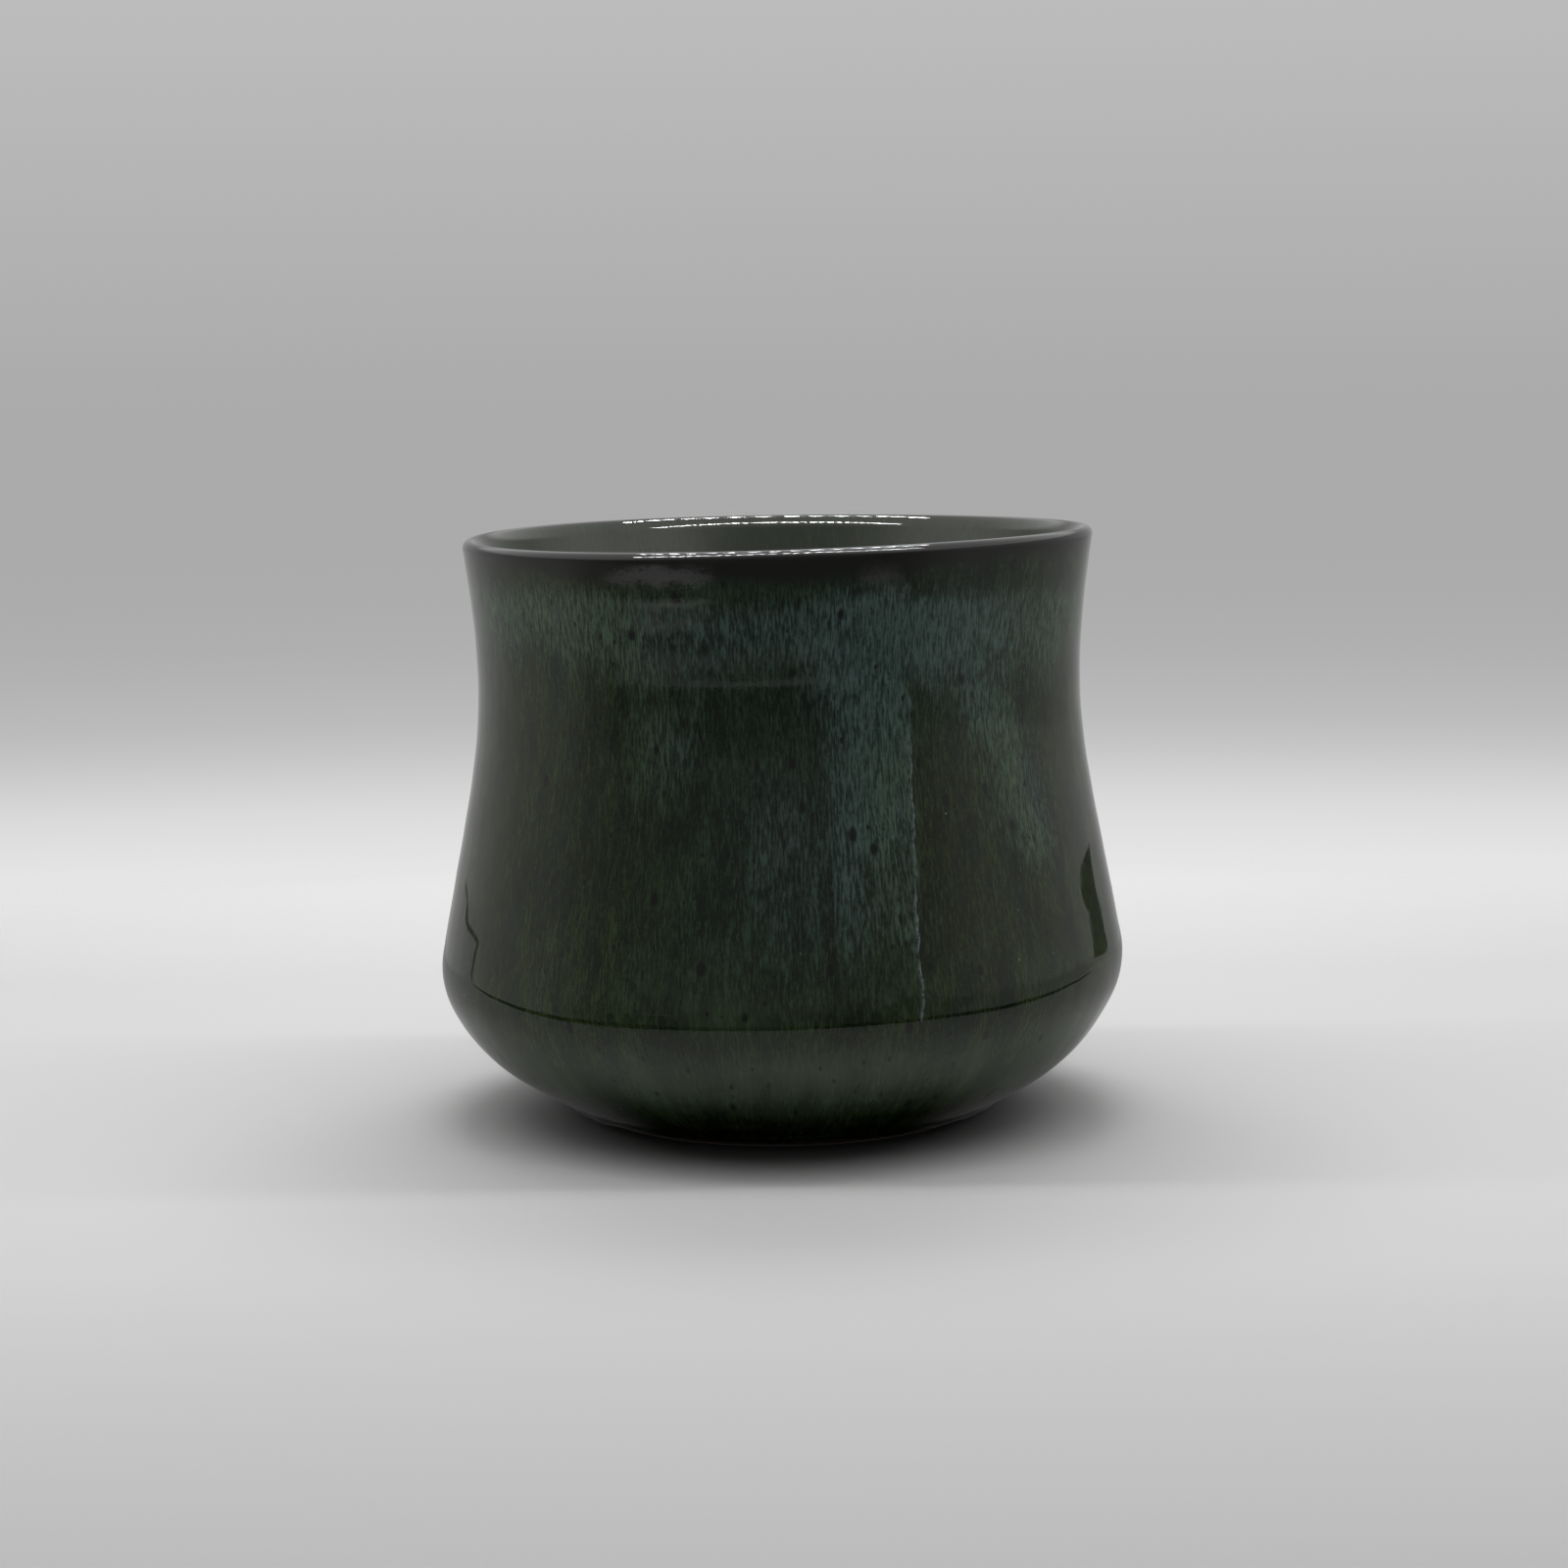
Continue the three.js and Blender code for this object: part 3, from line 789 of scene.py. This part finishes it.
def outer_glaze(material):
    edge = glaze_edge(around)
    bead = edge + np.linspace(0.0, BEAD_LENGTH, BEAD_ROWS, endpoint=False)
    start = edge + BEAD_LENGTH
    above = start + np.linspace(0.0, 1.0, OUTSIDE_ROWS) * (outside.end - start)
    face_run = np.concatenate([bead, above], axis=1)
    back_run = outside.end + np.linspace(0.0, 1.0, BACK_ROWS) * (edge - outside.end)
    turn = np.linspace(0.0, math.pi, NOSE_ROWS + 2)[1:-1]
    nose_run = edge - np.sin(turn) * OUTER_COAT / 2.0
    face_off = outer_relief(around, face_run)
    back_off = -coat_thickness(outside, back_run, OUTER_COAT)
    nose_off = every * -OUTER_COAT / 2.0 * (1.0 + np.cos(turn))
    run = np.concatenate([face_run, back_run, nose_run], axis=1)
    distance = np.concatenate([face_off, back_off, nose_off], axis=1)
    add_loop("outer_glaze", outside, run, distance, 0.0, material)


def lip_glaze(material):
    face_run = every * np.linspace(0.0, lip.end, LIP_ROWS)
    run = np.concatenate([face_run, face_run[:, ::-1]], axis=1)
    distance = np.concatenate([0.0 * face_run, 0.0 * face_run - LIP_COAT], axis=1)
    inward = smooth(run - crest_run, *LIP_TURN_IN)
    add_loop("lip_glaze", lip, run, distance, inward, material)


def add_bowl(name, radius, height, poles, fields, material):
    """A mesh whose outline starts and ends on the axis, from outlines without those two points."""
    rows = radius.shape[1]
    points = thrown(radius, height, around).reshape(-1, 3)
    ends = MM * np.array([[0.0, 0.0, pole] for pole in poles])
    faces = round_faces(rows, False)
    faces += pole_faces(rows, 0, len(points), False)
    faces += pole_faces(rows, rows - 1, len(points) + 1, True)
    padded = {field: np.append(values, [0.0, 0.0]) for field, values in fields.items()}
    add_piece(name, np.concatenate([points, ends]), faces, padded, material)


def liner_glaze(material):
    first = inside.end / INSIDE_ROWS
    face_run = every * np.linspace(first, inside.end, INSIDE_ROWS)
    back_run = every * np.linspace(first, inside.end, BACK_ROWS)
    run = np.concatenate([back_run, face_run[:, ::-1]], axis=1)
    face_off = inner_relief(around, face_run)
    back_off = -coat_thickness(inside, back_run, LINER_COAT)
    radius, height = inside.off(run, np.concatenate([back_off, face_off[:, ::-1]], axis=1))
    poles = [FLOOR_HEIGHT - LINER_COAT, FLOOR_HEIGHT]
    fields = glaze_fields(around, height, 1.0)
    add_bowl("liner_glaze", radius, height, poles, fields, material)


def stoneware_body(material):
    ring_inside = FOOT_RADIUS - FOOT_RING_WIDTH
    fillet_middle = np.array([ring_inside - RECESS_FILLET, RECESS_DEPTH - RECESS_FILLET])
    inner_round = np.array([ring_inside + FOOT_ROUNDING, FOOT_ROUNDING])
    outer_round = np.array([FOOT_RADIUS - FOOT_ROUNDING, FOOT_ROUNDING])
    ceiling_start = np.array([fillet_middle[0] / RECESS_ROWS, RECESS_DEPTH])
    ceiling_end = np.array([fillet_middle[0], RECESS_DEPTH])
    base = np.concatenate([
        line(ceiling_start, ceiling_end, RECESS_ROWS),
        arc(fillet_middle, RECESS_FILLET, 90.0, 0.0, CORNER_ROWS)[1:],
        arc(inner_round, FOOT_ROUNDING, 180.0, 270.0, CORNER_ROWS),
        arc(outer_round, FOOT_ROUNDING, 270.0, 360.0, CORNER_ROWS),
    ])
    radius, height = base[:, 0], base[:, 1]
    trim = TRIM_RELIEF * spiral(around, radius, TRIM_PITCH) * smooth(radius, 0.0, TRIM_STARTS)
    base_radius = every * radius
    base_height = height + trim * smooth(height, TRIM_LEVEL * RECESS_DEPTH, RECESS_DEPTH)
    bare_run = np.linspace(0.0, BARE_BAND + BEAD_LENGTH, BEAD_ROWS)
    wall_run = np.linspace(bare_run[-1], outside.end, BACK_ROWS)[1:]
    outer_run = np.concatenate([bare_run, wall_run])
    inner_run = np.linspace(inside.end, inside.end / BACK_ROWS, BACK_ROWS)
    lip_run = np.linspace(0.0, lip.end, LIP_ROWS)[1:-1]
    covered = [
        outside.off(outer_run, -coat_thickness(outside, outer_run, OUTER_COAT) - BOND),
        lip.off(lip_run, -LIP_COAT - BOND),
        inside.off(inner_run, -coat_thickness(inside, inner_run, LINER_COAT) - BOND),
    ]
    radius = np.concatenate([base_radius] + [every * part[0] for part in covered], axis=1)
    height = np.concatenate([base_height] + [every * part[1] for part in covered], axis=1)
    poles = [RECESS_DEPTH, FLOOR_HEIGHT - LINER_COAT - BOND]
    add_bowl("stoneware_body", radius, height, poles, {}, material)


def ridge_strength(height):
    """How pale and raised the strip's right edge is, with holes and brighter stretches."""
    holes = np.maximum(hump(height, 37.6, 1.1), hump(height, 28.2, 0.8))
    bright = 0.58 + 0.4 * np.maximum(hump(height, 32.7, 2.5), hump(height, 25.1, 2.0))
    broken = 0.75 + 0.25 * np.sin(1.7 * height) * np.sin(3.1 * height + 2.0)
    return faded(height, RIDGE_RISE, RIDGE_FALL) * bright * broken * (1.0 - 0.8 * holes)


def pour_overlap(material):
    """The doubled strip, sunk into the glaze at its left, top and tip, with a ridge at its right."""
    height = np.linspace(OVERLAP_TIP, OVERLAP_TOP, OVERLAP_ROWS)[:, None]
    share = 1.0 - (1.0 - np.linspace(0.0, 1.0, OVERLAP_COLUMNS)) ** OVERLAP_CROWDING
    left = overlap_left(height)
    right = overlap_right(height)
    azimuth = left + share * (right - left)
    run = outside.run_at(height) + 0.0 * azimuth
    radius = outside.off(run, 0.0)[0]
    from_edge = np.radians(right - azimuth) * radius
    drop = smooth(from_edge, 0.0, RIDGE_HALF_WIDTH)
    coat = (OVERLAP_COAT + OVERLAP_SINK) * smooth(share, 0.0, OVERLAP_SLOPE)
    coat = coat * faded(height, OVERLAP_RISE, OVERLAP_FALL)
    ridge = hump(from_edge, RIDGE_HALF_WIDTH, RIDGE_HALF_WIDTH) * ridge_strength(height)
    relief = outer_relief(azimuth, run)
    front_off = relief - OVERLAP_SINK + drop * (coat + RIDGE_COAT * ridge)
    back_off = relief - OVERLAP_BACK
    front = thrown(*outside.off(run, front_off), azimuth)
    back = thrown(*outside.off(run, back_off), azimuth)
    points = np.concatenate([front.reshape(-1, 3), back.reshape(-1, 3)])
    index = np.arange(height.size * share.size).reshape(height.size, share.size)
    behind = index + index.size
    sheets = [
        np.stack([index[:-1, :-1], index[:-1, 1:], index[1:, 1:], index[1:, :-1]], axis=-1),
        np.stack([behind[:-1, :-1], behind[1:, :-1], behind[1:, 1:], behind[:-1, 1:]], axis=-1),
    ]
    border = np.concatenate([index[0, :-1], index[:-1, -1], index[-1, :0:-1], index[:0:-1, 0]])
    ahead = np.roll(border, -1)
    sheets.append(np.stack([ahead, border, border + index.size, ahead + index.size], axis=-1))
    faces = [quad for sheet in sheets for quad in sheet.reshape(-1, 4).tolist()]
    fields = glaze_fields(azimuth, height)
    fields["ridge"] = ridge * drop
    doubled = {field: np.tile(values.ravel(), 2) for field, values in fields.items()}
    add_piece("pour_overlap", points, faces, doubled, material)


stoneware_body(clay_material())
outer_glaze(glaze_material("green_glaze"))
liner_glaze(glaze_material("inner_glaze"))
lip_glaze(glaze_material("lip_glaze"))
pour_overlap(glaze_material("overlap_glaze"))

# Studio, in metres: a pale table that fades into a backdrop
FLOOR_REACH = 0.60
FLOOR_FADE = (0.205, 0.260)

# Soft fill from above and from behind
FILL_LOW = 0.03
FILL_HIGH = 1.00
FILL_RISE = (0.60, 0.95)
FILL_BACK = 1.10
FILL_BACK_TURN = (0.5, 0.95)
HORIZON = (-0.02, 0.02)

# Brightness of the surroundings as the glaze mirrors them, and where one gives way to another
BEHIND = 0.42
BEHIND_RIGHT = 0.32
RIGHT_TURN = (0.2, 0.6)
RIGHT_DROP = (0.0, -0.08)
BELOW_FRONT = 0.12
FRONT = 0.20
FRONT_RISE = (-0.15, 0.15)
FRONT_TURN = (0.10, 0.70)
DIM_SIDE = math.radians(8.0)
ABOVE = 0.45
ABOVE_RISE = (0.20, 0.75)
BELOW = 0.34
BELOW_DROP = (-0.44, -0.54)
SIDE_PANELS = 1.10
PANEL_RISE = (0.25, 0.40)
PANEL_TURN = (0.85, 0.45)

# Two long soft lights, and two rows of lamps for the sparkle on the lip
ROW_HEIGHT = 0.42
TOP_ROW = 0.90
TOP_WIDTH = 0.02
TOP_POWER = 2.20
BACK_ROW = 0.135
BACK_WIDTH = 0.150
BACK_POWER = 0.75
BACK_AWAY = 0.180
FRONT_ROW = 0.30
LAMPS_AWAY = 0.143
LAMP_SPACING = 0.018
LAMP_LENGTH = 0.007
LAMP_WIDTH = 0.010
LAMP_GLOW = 400.0

# The table as the glaze reflects it: round in front, with shades by the distance from the axis, black
# near the axis as a painted shadow of the cup
MIRRORED_SHADES = {
    0.0: 0.0, 0.034: 0.0, 0.038: 0.02, 0.041: 0.09, 0.0445: 0.23, 0.047: 0.33,
    0.050: 0.40, 0.056: 0.43, 0.063: 0.42, 0.073: 0.385, 0.090: 0.315,
}
SIDE_SHADES = {
    0.0: 0.0, 0.030: 0.05, 0.040: 0.12, 0.046: 0.20,
    0.052: 0.285, 0.060: 0.37, 0.070: 0.40, 0.090: 0.375,
}
SIDE_BLEND = (0.55, 0.95)
MIRRORED_ROUND = 0.0895
MIRRORED_TURN = 60.0
MIRRORED_SIDE = (0.28, 0.16)
MIRRORED_LEVEL = 0.00005
ARC_POINTS = 25

# A dark ring in front of the belly, in the way of light from the table's edge
RING_SHADE = 0.04
RING_WIDTH = 0.016
RING_TURN = 60.0
RING_COLUMNS = 61
RING_AWAY = 0.0124
RING_LEAN = math.tan(math.radians(52.0))
LINE_RADIUS = 0.0476
LINE_HEIGHT = 0.0202
LINE_RISE = 0.0000005
SIGHT_TURN = 2.09

# A pale strip in front of the table, which the glaze mirrors above the waist
STRIP_SIDES = (0.343, 0.368)
STRIP_TURN = (-60.0, 24.0)
STRIP_SHADE = 0.40

# Two pale crescents, mirrored in the lip band: azimuth and distance of their tips, swell outwards and
# inwards between the tips, in millimetres, and brightness
CRESCENTS = {
    "left_patch": {"tips": ((-63.8, 289.8), (-19.1, 259.3)), "swells": (0.6, 10.0), "shade": 0.76},
    "right_patch": {"tips": ((27.3, 263.4), (45.0, 271.5)), "swells": (2.8, 4.5), "shade": 0.52},
}
CRESCENT_ROUNDING = 0.8
CRESCENT_STEPS = 12

# Dark cards beside the cup: corners by azimuth and height in millimetres
CARD_SHADE = 0.08
CARD_DISTANCE = 0.200
CARDS = {
    "right_card": [
        (115.0, 17.3), (123.9, 12.7), (129.2, 13.2), (129.1, 19.6), (127.1, 27.1),
        (132.0, 31.8), (126.1, 33.5), (115.2, 35.3), (114.6, 31.7), (117.6, 26.5),
    ],
    "left_card": [
        (-113.2, 26.0), (-118.2, 25.6), (-128.5, 22.8), (-134.0, 24.9), (-134.0, 23.8), (-128.5, 21.4),
        (-118.2, 24.2), (-115.0, 24.0), (-116.0, 18.8), (-114.8, 8.3), (-113.6, 8.3), (-114.8, 18.8),
    ],
}

# Painted shade of the table by its depth: darker towards the front, with a slight dip round the cup
TABLE_PAINTED_SHADE = {-0.25: 0.475, -0.18: 0.535, -0.09: 0.59, 0.02: 0.57, 0.10: 0.58, 0.20: 0.68}

# Brightness of the backdrop by the sine of the elevation
BACKDROP = {
    -1.0: 0.70, -0.160: 0.78, -0.148: 0.78, -0.134: 0.71, -0.112: 0.51, -0.090: 0.43,
    -0.066: 0.405, -0.020: 0.405, 0.042: 0.46, 0.086: 0.50, 0.30: 0.60, 1.0: 0.66,
}


def add_stage(name, corners, faces, material):
    """A piece of the studio, which isn't part of the object."""
    mesh = bpy.data.meshes.new(name)
    mesh.from_pydata(corners, [], faces)
    mesh.materials.append(material)
    piece = add_object(name, mesh)
    return piece


def only_in_reflections(piece):
    for rays in ("camera", "diffuse", "shadow", "transmission"):
        setattr(piece, "visible_" + rays, False)


def add_ramp(g, value, levels):
    """Greys by a value, from a table of levels."""
    places = sorted(levels)
    low = places[0]
    high = places[-1]
    ramp = g.add("ShaderNodeValToRGB", {"Fac": g.linear(value, low, high)})
    stops = ramp.color_ramp.elements
    stops[0].color = grey(levels[low])
    stops[1].color = grey(levels[high])
    for place in places[1:-1]:
        stops.new((place - low) / (high - low)).color = grey(levels[place])
    return ramp.outputs["Color"]


def add_floor():
    """A pale table, painted with shade that darkens towards the front, that fades into the backdrop."""
    material = bpy.data.materials.new("floor")
    g = Graph(material)
    place = g.place()
    depth = g.add("ShaderNodeSeparateXYZ", {0: place}).outputs["Y"]
    table = g.add("ShaderNodeBsdfDiffuse", {"Color": add_ramp(g, depth, TABLE_PAINTED_SHADE)}).outputs[0]
    seen = g.add("ShaderNodeLightPath").outputs["Is Camera Ray"]
    fade = g.times(g.between(g.length(place), *FLOOR_FADE), seen)
    clear = g.add("ShaderNodeBsdfTransparent").outputs[0]
    g.surface(g.add("ShaderNodeMixShader", {0: fade, 1: table, 2: clear}))
    square = ((-1, -1), (1, -1), (1, 1), (-1, 1))
    corners = [(FLOOR_REACH * x, FLOOR_REACH * y, 0.0) for x, y in square]
    floor = add_stage("floor", corners, [[0, 1, 2, 3]], material)
    floor.visible_glossy = False


def table_shade(g):
    """Brightness of the mirrored table by the distance from the axis, ahead and to the sides, dark near
    the cup as a painted shadow.
    """
    flat = g.flat(g.place())
    away = g.length(flat)
    split = g.add("ShaderNodeSeparateXYZ", {0: g.vector("NORMALIZE", flat)})
    across = g.between(g.calc("ABSOLUTE", split.outputs["X"]), *SIDE_BLEND)
    return g.mix(across, add_ramp(g, away, MIRRORED_SHADES), add_ramp(g, away, SIDE_SHADES))


def add_reflected(name, corners, shade, faces=None):
    """A glowing sheet that only reflections show, with one brightness or a function that makes it; its
    glow stands in for lit or dark surroundings.
    """
    material = bpy.data.materials.new(name)
    g = Graph(material)
    level = shade(g) if callable(shade) else grey(shade)
    g.surface(g.add("ShaderNodeEmission", {"Color": level, "Strength": 1.0}))
    faces = faces or [list(range(len(corners)))]
    only_in_reflections(add_stage(name, corners, faces, material))


def beside(azimuth, distance, height):
    """A place round the cup, by its azimuth and its distance from the axis."""
    turn = math.radians(azimuth)
    return (distance * math.sin(turn), -distance * math.cos(turn), height)


def mirrored_outline(wider, height=0.0):
    """Corners of the table that the glaze reflects, widened all round."""
    azimuths = np.linspace(-MIRRORED_TURN, MIRRORED_TURN, ARC_POINTS)
    front = [beside(azimuth, MIRRORED_ROUND + wider, height) for azimuth in azimuths]
    side, back = MIRRORED_SIDE
    return front + [(side + wider, back, height), (-side - wider, back, height)]


def cross(first, second):
    return first[0] * second[1] - first[1] * second[0]


def reach(place, toward, outline):
    """Distance from a place inside an outline to the outline, both seen from above."""
    corners = np.array(outline)[:, :2]
    found = []
    for near, far in zip(corners, np.roll(corners, -1, axis=0)):
        slope = cross(toward, far - near)
        along = cross(near - place, far - near) / slope
        share = cross(near - place, toward) / slope
        if along > 0.0 and 0.0 <= share <= 1.0:
            found.append(along)
    return min(found)


def ring_corners():
    """Upper and lower side of the dark ring, which leans out so that only low light shows it."""
    table = mirrored_outline(0.0)
    widened = mirrored_outline(RING_WIDTH)
    upper = []
    lower = []
    for azimuth in np.linspace(-RING_TURN, RING_TURN, RING_COLUMNS):
        place = np.array(beside(azimuth, LINE_RADIUS, 0.0)[:2])
        toward = np.array(beside(SIGHT_TURN * azimuth, 1.0, 0.0)[:2])
        height = LINE_HEIGHT + LINE_RISE * azimuth * azimuth
        steep = height / reach(place, toward, table)
        shallow = height / reach(place, toward, widened)
        lower_away = RING_AWAY * (1.0 + (steep - shallow) / (RING_LEAN - steep))
        for side, away, fall in ((upper, RING_AWAY, shallow), (lower, lower_away, steep)):
            x, y = place + away * toward
            side.append((float(x), float(y), height - away * fall))
    return upper + lower


def crescent(tips, swells):
    """Corners of a sickle that lies round the cup, out along one side and back along the other."""
    share = np.linspace(0.0, 1.0, CRESCENT_STEPS + 1)
    azimuth, distance = [first + share * (last - first) for first, last in zip(*tips)]
    swell = np.sin(math.pi * share) ** CRESCENT_ROUNDING
    outer = distance + swells[0] * swell
    inner = distance - swells[1] * swell
    turns = np.concatenate([azimuth, azimuth[-2:0:-1]])
    away = MM * np.concatenate([outer, inner[-2:0:-1]])
    return [beside(*corner, MIRRORED_LEVEL) for corner in zip(turns, away)]


def add_reflections():
    """What the glaze mirrors: a dark ring, the table, a pale strip, two patches and two cards."""
    starts = range(RING_COLUMNS - 1)
    ring_faces = [[i, i + 1, RING_COLUMNS + i + 1, RING_COLUMNS + i] for i in starts]
    add_reflected("dark_ring", ring_corners(), RING_SHADE, ring_faces)
    add_reflected("mirrored_table", mirrored_outline(0.0, 2.0 * MIRRORED_LEVEL), table_shade)
    azimuths = np.linspace(*STRIP_TURN, ARC_POINTS)
    near, far = [[beside(azimuth, side, MIRRORED_LEVEL) for azimuth in azimuths] for side in STRIP_SIDES]
    add_reflected("pale_strip", far + near[::-1], STRIP_SHADE)
    for name, patch in CRESCENTS.items():
        add_reflected(name, crescent(patch["tips"], patch["swells"]), patch["shade"])
    for name, outline in CARDS.items():
        corners = [beside(azimuth, CARD_DISTANCE, height * MM) for azimuth, height in outline]
        add_reflected(name, corners, CARD_SHADE)


def add_world():
    """A pale backdrop for the camera, darker surroundings for reflections, and a soft fill."""
    world = bpy.data.worlds.new("studio")
    bpy.context.scene.world = world
    g = Graph(world)
    direction = g.add("ShaderNodeTexCoord").outputs["Generated"]
    split = g.add("ShaderNodeSeparateXYZ", {0: direction})
    right = split.outputs["X"]
    back = split.outputs["Y"]
    rising = split.outputs["Z"]
    backdrop = add_ramp(g, rising, BACKDROP)
    fill = g.mix(g.between(rising, *FILL_RISE), grey(FILL_LOW), grey(FILL_HIGH))
    from_back = g.times(g.between(back, *FILL_BACK_TURN), FILL_BACK)
    fill = g.mix(g.between(rising, *HORIZON), grey(FILL_LOW), g.calc("MAXIMUM", fill, from_back))
    ahead = g.weighted((right, -math.sin(DIM_SIDE)), (back, -math.cos(DIM_SIDE)))
    front = g.mix(g.between(rising, *FRONT_RISE), grey(BELOW_FRONT), grey(FRONT))
    low_right = g.times(g.between(right, *RIGHT_TURN), g.between(rising, *RIGHT_DROP))
    behind = g.mix(low_right, grey(BEHIND), grey(BEHIND_RIGHT))
    around_cup = g.mix(g.between(ahead, *FRONT_TURN), behind, front)
    around_cup = g.mix(g.between(rising, *ABOVE_RISE), around_cup, grey(ABOVE))
    around_cup = g.mix(g.between(rising, *BELOW_DROP), around_cup, grey(BELOW))
    sides = g.times(g.between(rising, *PANEL_RISE), g.between(ahead, *PANEL_TURN))
    around_cup = g.mix(sides, around_cup, grey(SIDE_PANELS))
    path = g.add("ShaderNodeLightPath")
    light = g.mix(path.outputs["Is Glossy Ray"], fill, around_cup)
    light = g.mix(path.outputs["Is Camera Ray"], light, backdrop)
    background = g.add("ShaderNodeBackground", {"Color": light, "Strength": 1.0})
    g.add("ShaderNodeOutputWorld", {"Surface": background.outputs[0]})


def add_light_rows():
    """Two long soft lights, over the cup and behind it, which shape it and its shadow."""
    rows = (
        ("top_row", 0.0, TOP_ROW, TOP_WIDTH, TOP_POWER),
        ("back_row", BACK_AWAY, BACK_ROW, BACK_WIDTH, BACK_POWER),
    )
    for name, y, half_length, width, power in rows:
        light = bpy.data.lights.new(name, "AREA")
        light.shape = "RECTANGLE"
        light.size = 2.0 * half_length
        light.size_y = width
        light.energy = power
        lamp = add_object(name, light)
        lamp.location = (0.0, y, ROW_HEIGHT)
        lamp.visible_glossy = False


def add_lamps():
    """Rows of single lamps before and behind the cup, for the sparkle along the lip."""
    glow = bpy.data.materials.new("lamps")
    g = Graph(glow)
    g.surface(g.add("ShaderNodeEmission", {"Strength": LAMP_GLOW}))
    signs = ((-1, -1), (-1, 1), (1, 1), (1, -1))
    square = [(x * LAMP_LENGTH / 2.0, y * LAMP_WIDTH / 2.0) for x, y in signs]
    corners = []
    for y, half_length in ((-LAMPS_AWAY, FRONT_ROW), (LAMPS_AWAY, BACK_ROW)):
        for x in np.arange(-half_length, half_length, LAMP_SPACING):
            corners += [(float(x) + across, y + along, ROW_HEIGHT) for across, along in square]
    faces = [[start, start + 1, start + 2, start + 3] for start in range(0, len(corners), 4)]
    only_in_reflections(add_stage("lamps", corners, faces, glow))


# Camera at the photograph's viewing angle, found from the cup's outline
CAMERA_PLACE = (0.528 * MM, -491.98 * MM, 109.25 * MM)
CAMERA_PITCH = 7.36
CAMERA_ROLL = 0.69
CAMERA_CLIP = 0.01
FRAME_PIXELS = 1600.0
FOCAL_PIXELS = 3600.0
SENSOR_WIDTH = 36.0


def add_camera():
    data = bpy.data.cameras.new("camera")
    data.sensor_width = SENSOR_WIDTH
    data.lens = SENSOR_WIDTH * FOCAL_PIXELS / FRAME_PIXELS
    data.clip_start = CAMERA_CLIP
    camera = add_object("camera", data)
    tilt = Matrix.Rotation(math.radians(90.0 - CAMERA_PITCH), 4, "X")
    roll = Matrix.Rotation(math.radians(-CAMERA_ROLL), 4, "Z")
    camera.matrix_world = Matrix.Translation(CAMERA_PLACE) @ tilt @ roll
    bpy.context.scene.camera = camera


add_floor()
add_reflections()
add_world()
add_light_rows()
add_lamps()
add_camera()
bpy.context.scene.view_settings.view_transform = "Standard"
